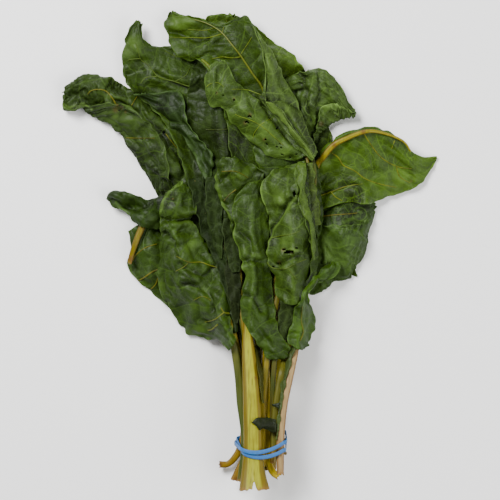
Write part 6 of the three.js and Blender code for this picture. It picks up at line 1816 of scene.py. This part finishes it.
@dataclass
class Stalk:
    """One stalk with its midrib, from the cut end to the tip of the leaf."""

    name: str
    node: str
    plan: StalkPlan
    look: StalkLook
    seed: int
    spacing: float = 2.0
    gap: float = 0.1  # air under it
    climb: float = 2.0  # how far it may be lifted by what lies under it
    squareness: float = 3.0
    channel_width: float = 0.42  # half width of the groove, as a share of its own half width
    notch_width: float = 1.9  # half width of the split in the foot
    notch_length: float = 8.0
    torn: float = 0.9  # how uneven the cut is
    greening: float = 60.0  # over what length it turns greener
    drying: float = 2.5  # over what length the cut is dry
    ring: np.ndarray = field(init=False)

    @property
    def sides(self) -> int:
        """How many points each ring has."""
        return self.look.sides

    def solid_lifts(self) -> np.ndarray:
        """Read how high the stalk's solid stands.

        Returns:
            The height of the lowest corner of each of its rings.
        """
        corners = solid_corners(self.node)
        steps = round((len(self.plan.widths) - 1) * STEPS_PER_POINT)
        lifts = np.empty(steps + 1)
        line = np.column_stack([plan(self.plan.path), self.plan.widths])
        shares = np.arange(steps + 1) / steps * (len(line) - 1)
        probe = RING_PROBE / steps * (len(line) - 1)
        middle = smooth(line, shares)
        ahead = smooth(line, np.clip(shares + probe, 0, len(line) - 1))
        forward = ahead - smooth(line, np.clip(shares - probe, 0, len(line) - 1))
        forward /= np.hypot(forward[:, 0], forward[:, 1])[:, None]
        low = math.cos(math.pi / STALK_SIDES)
        out = math.cos((0.5 / STALK_SIDES) * 2 * math.pi - math.pi / 2)
        for i, (x, y, width) in enumerate(middle):
            reach = width / 2 / low * out
            place = (x + forward[i, 1] * reach, y - forward[i, 0] * reach)
            off = np.hypot(*(corners[:, :2] - place).T)
            lifts[i] = corners[off < max(CORNER_SLACK, off.min() + 0.01), 2].min()
        return lifts

    def rings(self, pile: Pile) -> tuple[np.ndarray, dict[str, np.ndarray]]:
        """Shape the rings along the stalk and lay them on the pile.

        Args:
            pile: what lies under it.

        Returns:
            The rings, (count, sides, 3), and the numbers that the finish reads.
        """
        look, lifts = self.look, self.solid_lifts()
        line = np.column_stack([plan(self.plan.path), self.plan.widths])
        shares = np.linspace(0, 1, int(run_along(line[:, :2])[-1] / self.spacing))
        middle = smooth(line, shares * (len(line) - 1))
        lift = smooth(lifts, shares * (len(lifts) - 1))
        forward = np.gradient(middle[:, :2], axis=0)
        forward /= np.maximum(np.hypot(*forward.T), 1e-9)[:, None]
        run = run_along(middle[:, :2])
        angles = (np.arange(self.sides) + 0.5) / self.sides * 2 * math.pi - math.pi / 2
        width = middle[:, 2:3] * look.slim
        depth = np.maximum(self.plan.depth * width, 1)
        cosine, sine, reached = np.cos(angles)[None], np.sin(angles)[None], run[:, None]
        twist = 0.004 * reached * self.seed
        ridges = 1 + look.ridge * np.cos(look.ridge_count * angles[None] + twist)
        power = self.squareness
        square = (np.abs(cosine) ** power + np.abs(sine) ** power) ** (-1 / power)
        out = width / 2 * cosine * square * ridges
        up = depth / 2 * (1 + sine * square * ridges)
        up -= depth * look.channel * np.exp(-((cosine / self.channel_width) ** 2)) * (sine > 0)
        split = np.clip(1 - np.abs(out) / self.notch_width, 0, 1)
        notch = look.notch * split * np.exp(-reached / self.notch_length)
        notch += self.torn * waves(out, 0.6 * up, 6, self.seed) * np.exp(-reached / 2)
        ring = np.empty((len(run), self.sides, 3))
        ring[..., 0] = middle[:, :1] + forward[:, 1:2] * out + forward[:, :1] * notch
        ring[..., 1] = middle[:, 1:2] - forward[:, :1] * out + forward[:, 1:2] * notch
        ring[..., 2] = lift[:, None] + up
        need = pile.missing(ring, self.gap, self.climb).max(1, keepdims=True)
        ring[..., 2] += softened(spread(need, 1), 1)[:, :1]
        pile.add(ring)
        ones = np.ones(ring.shape[:2])
        return ring, {
            "across": cosine * ones,
            "upper": np.clip((reached - look.greens_from) / self.greening, 0, 1) * ones,
            "cut": np.exp(-reached / self.drying) * ones,
            "rust": spots(ring, look.rust),
        }

    def build(self, pile: Pile) -> bpy.types.Object:
        """Make the stalk and lay it on the pile.

        Args:
            pile: what lies under it.

        Returns:
            The piece.
        """
        self.ring, values = self.rings(pile)
        count = len(self.ring)
        number = np.arange(count * self.sides).reshape(count, self.sides)
        after = np.roll(number, -1, axis=1)
        faces = np.stack([number[:-1], after[:-1], after[1:], number[1:]], 2).reshape(-1, 4).tolist()
        lower = (np.arange(self.sides // 2 + 1) + 3 * self.sides // 4)[:-1] % self.sides
        over = (self.sides // 2 - 1 - lower) % self.sides
        for end, (first, second) in ((0, (lower, over)), (-1, (over, lower))):
            ends = number[end]
            cap = np.stack([ends[first[:-1]], ends[first[1:]], ends[second[1:]], ends[second[:-1]]], 1)
            faces += cap.tolist()
        finish = self.look.finish(f"{self.name}_finish")
        piece = make_piece(self.name, self.ring.reshape(-1, 3), faces, values, finish.build())
        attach(piece, "root")
        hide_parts(self.node)
        return piece


# ---- the rubber band ----


@dataclass
class RubberBand:
    """Flat band that goes twice round the stalks and crosses itself once."""

    width: float = 3.6
    thickness: float = 1.1
    half_spread: float = 3.9
    half_stack: float = 0.9
    middle: Place = (262, 447.2)
    half_way: float = 24.0
    slope: float = 0.09
    tilt: float = 0.2
    clearance: float = 0.2
    crossing: float = 0.87
    bow: float = 4.8
    bow_reach: float = 19.0
    reach: float = 4.6
    steps: int = 320
    sides: int = 16
    squareness: float = 5.0

    def line(self, x: np.ndarray, z: np.ndarray) -> np.ndarray:
        """Find the band's middle line.

        Args:
            x: places across the stalks.
            z: heights there.

        Returns:
            How far up the stalks it is.
        """
        middle, station = plan(self.middle)[0]
        bow = self.bow * np.clip(np.abs(x - middle) / self.bow_reach, 0, 1) ** 2
        return station + self.slope * (x - middle) - self.tilt * (z - self.half_way) + bow

    def outline(self, stalks: Sequence[np.ndarray]) -> np.ndarray:
        """Wrap the stalks near the band.

        Args:
            stalks: the rings of each stalk.

        Returns:
            Their convex outline, (count, 2) in [x, z].
        """
        points = np.concatenate([s.reshape(-1, 3) for s in stalks])
        x, y, z = points.T
        points = points[np.abs(y - self.line(x, z)) < self.reach][:, [0, 2]]
        points = points[np.lexsort((points[:, 1], points[:, 0]))]

        def half(ordered: np.ndarray) -> list[np.ndarray]:
            """Walk along one side of the outline.

            Args:
                ordered: (count, 2) points in order.

            Returns:
                The corners of that side.
            """
            chain: list[np.ndarray] = []
            for p in ordered:
                while len(chain) > 1 and np.cross(chain[-1] - chain[-2], p - chain[-2]) <= 0:
                    chain.pop()
                chain.append(p)
            return chain[:-1]

        return np.array(half(points) + half(points[::-1]))

    def build(self, stalks: Sequence[np.ndarray]) -> bpy.types.Object:
        """Make the band round the stalks.

        Args:
            stalks: the rings of each stalk.

        Returns:
            The piece.
        """
        outline = self.outline(stalks)
        closed = np.concatenate([outline, outline[:1]])
        lengths = run_along(closed)

        def at(share: np.ndarray) -> np.ndarray:
            """Places on the outline at shares of its length."""
            run = np.mod(share, 1) * lengths[-1]
            return np.column_stack([np.interp(run, lengths, closed[:, k]) for k in (0, 1)])

        turn = 2 * np.arange(self.steps) / self.steps
        share = turn + self.crossing - 0.5
        here = np.mean([at(share + s) for s in (-0.012, 0, 0.012)], 0)
        forward = at(share + 0.03) - at(share - 0.03)
        forward /= np.hypot(*forward.T)[:, None]
        out = np.column_stack([forward[:, 1], -forward[:, 0]])
        clear = self.clearance + self.thickness / 2 + self.half_stack * (1 + np.sin(math.pi * turn))
        spread_y = self.half_spread * np.cos(math.pi * turn)
        angles = np.linspace(0, 2 * math.pi, self.sides, endpoint=False) + 0.2
        c, s, power = np.cos(angles), np.sin(angles), self.squareness
        box = (np.abs(c) ** power + np.abs(s) ** power) ** (-1 / power)
        high, wide = s * box * self.thickness / 2, c * box * self.width / 2
        ring = np.empty((self.steps, self.sides, 3))
        ring[..., 0] = here[:, :1] + out[:, :1] * (clear[:, None] + high)
        ring[..., 2] = here[:, 1:2] + out[:, 1:2] * (clear[:, None] + high)
        ring[..., 1] = self.line(ring[..., 0], ring[..., 2]) + spread_y[:, None] + wide
        number = np.arange(self.steps * self.sides).reshape(self.steps, self.sides)
        after, ahead = np.roll(number, -1, axis=1), np.roll(number, -1, axis=0)
        both = np.roll(after, -1, axis=0)
        faces = np.stack([number, ahead, both, after], 2).reshape(-1, 4).tolist()
        piece = make_piece("band", ring.reshape(-1, 3), faces, {}, RubberFinish().build())
        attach(piece, "root")
        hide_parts("rubber_band")
        return piece


# ---- the studio ----


@dataclass(frozen=True)
class Lamp:
    """Soft square light aimed at the bunch: lengths in metres, power in watts."""

    name: str
    place: tuple[float, float, float]
    size: float
    power: float

    def hang(self) -> None:
        """Hang the lamp where it does not show in the picture."""
        lamp = bpy.data.lights.new(self.name, "AREA")
        lamp.size, lamp.energy = self.size, self.power
        holder = bpy.data.objects.new(self.name, lamp)
        holder.location = self.place
        holder.rotation_euler = (-Vector(self.place)).to_track_quat("-Z", "Y").to_euler()
        holder.visible_camera = False
        bpy.context.scene.collection.objects.link(holder)


@dataclass
class Studio:
    """Pale floor, soft lights and a camera straight above: lengths in metres."""

    camera_height: float = 5.0
    seen: float = 0.45  # width of the floor that the picture shows
    sensor: float = 36.0  # width of the camera's sensor, in millimetres
    sight: float = 20.0  # how far the camera sees
    floor_reach: float = 3.0
    lamps: tuple[Lamp, ...] = (
        Lamp("key", (-0.8, 0.9, 1.4), 0.8, 72),
        Lamp("fill", (1.2, -0.4, 1.2), 1.4, 32),
    )
    sky_colour: tuple[float, float, float, float] = (1.0, 1.0, 0.98, 1.0)
    sky_strength: float = 0.3

    def floor(self) -> None:
        """Make the floor."""
        mesh = bpy.data.meshes.new("floor")
        far = self.floor_reach
        corners = [(-far, -far, 0), (far, -far, 0), (far, far, 0), (-far, far, 0)]
        mesh.from_pydata(corners, [], [(0, 1, 2, 3)])
        mesh.materials.append(FloorFinish().build())
        floor = bpy.data.objects.new("floor", mesh)
        bpy.context.scene.collection.objects.link(floor)

    def sky(self) -> None:
        """Light the bunch softly from everywhere."""
        world = bpy.data.worlds.new("sky")
        world.use_nodes = True
        inputs = world.node_tree.nodes["Background"].inputs
        inputs["Color"].default_value = self.sky_colour
        inputs["Strength"].default_value = self.sky_strength
        bpy.context.scene.world = world

    def camera(self) -> None:
        """Hang the camera straight above the middle."""
        camera = bpy.data.cameras.new("camera")
        camera.sensor_width = self.sensor
        camera.lens = self.sensor * self.camera_height / self.seen
        camera.clip_end = self.sight
        holder = bpy.data.objects.new("camera", camera)
        holder.location = (0, 0, self.camera_height)
        bpy.context.scene.collection.objects.link(holder)
        bpy.context.scene.camera = holder

    def build(self) -> None:
        """Make floor, lights, sky and camera."""
        self.floor()
        for lamp in self.lamps:
            lamp.hang()
        self.sky()
        self.camera()


def report(piece: Optional[bpy.types.Object]) -> None:
    """Report a piece, where there is one."""
    if piece is not None:
        LOG.info("%s: %d faces", piece.name, len(piece.data.polygons))


def main() -> None:
    """Build every piece in the order in which it lies."""
    logging.basicConfig(level=logging.INFO, format="%(message)s")
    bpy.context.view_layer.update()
    Studio().build()
    pile = Pile()
    rings = []
    for seed, item in enumerate(LAYING):
        name, kind = item.split()
        node = name if name.startswith("scrap") else f"{name}_{kind}"
        if kind == "strip":
            strip = STRIPS[name]
            rolled = Blade(f"{name}_strip", None, strip.plan(), strip.look(), strip.path, seed)
            report(rolled.build(pile))
        elif kind == "stalk":
            stalk = Stalk(f"{name}_stem", node, STALKS[name], STALK_LOOKS[name], seed)
            report(stalk.build(pile))
            rings.append(stalk.ring)
        else:
            rib = STALKS[name].path if name in STALKS else None
            blade = Blade(f"{name}_leaf", node, BLADES[name], BLADE_LOOKS[name], rib, seed)
            report(blade.build(pile))
            report(blade.build_veins())
    report(RubberBand().build(rings))


if __name__ == "__main__":
    main()
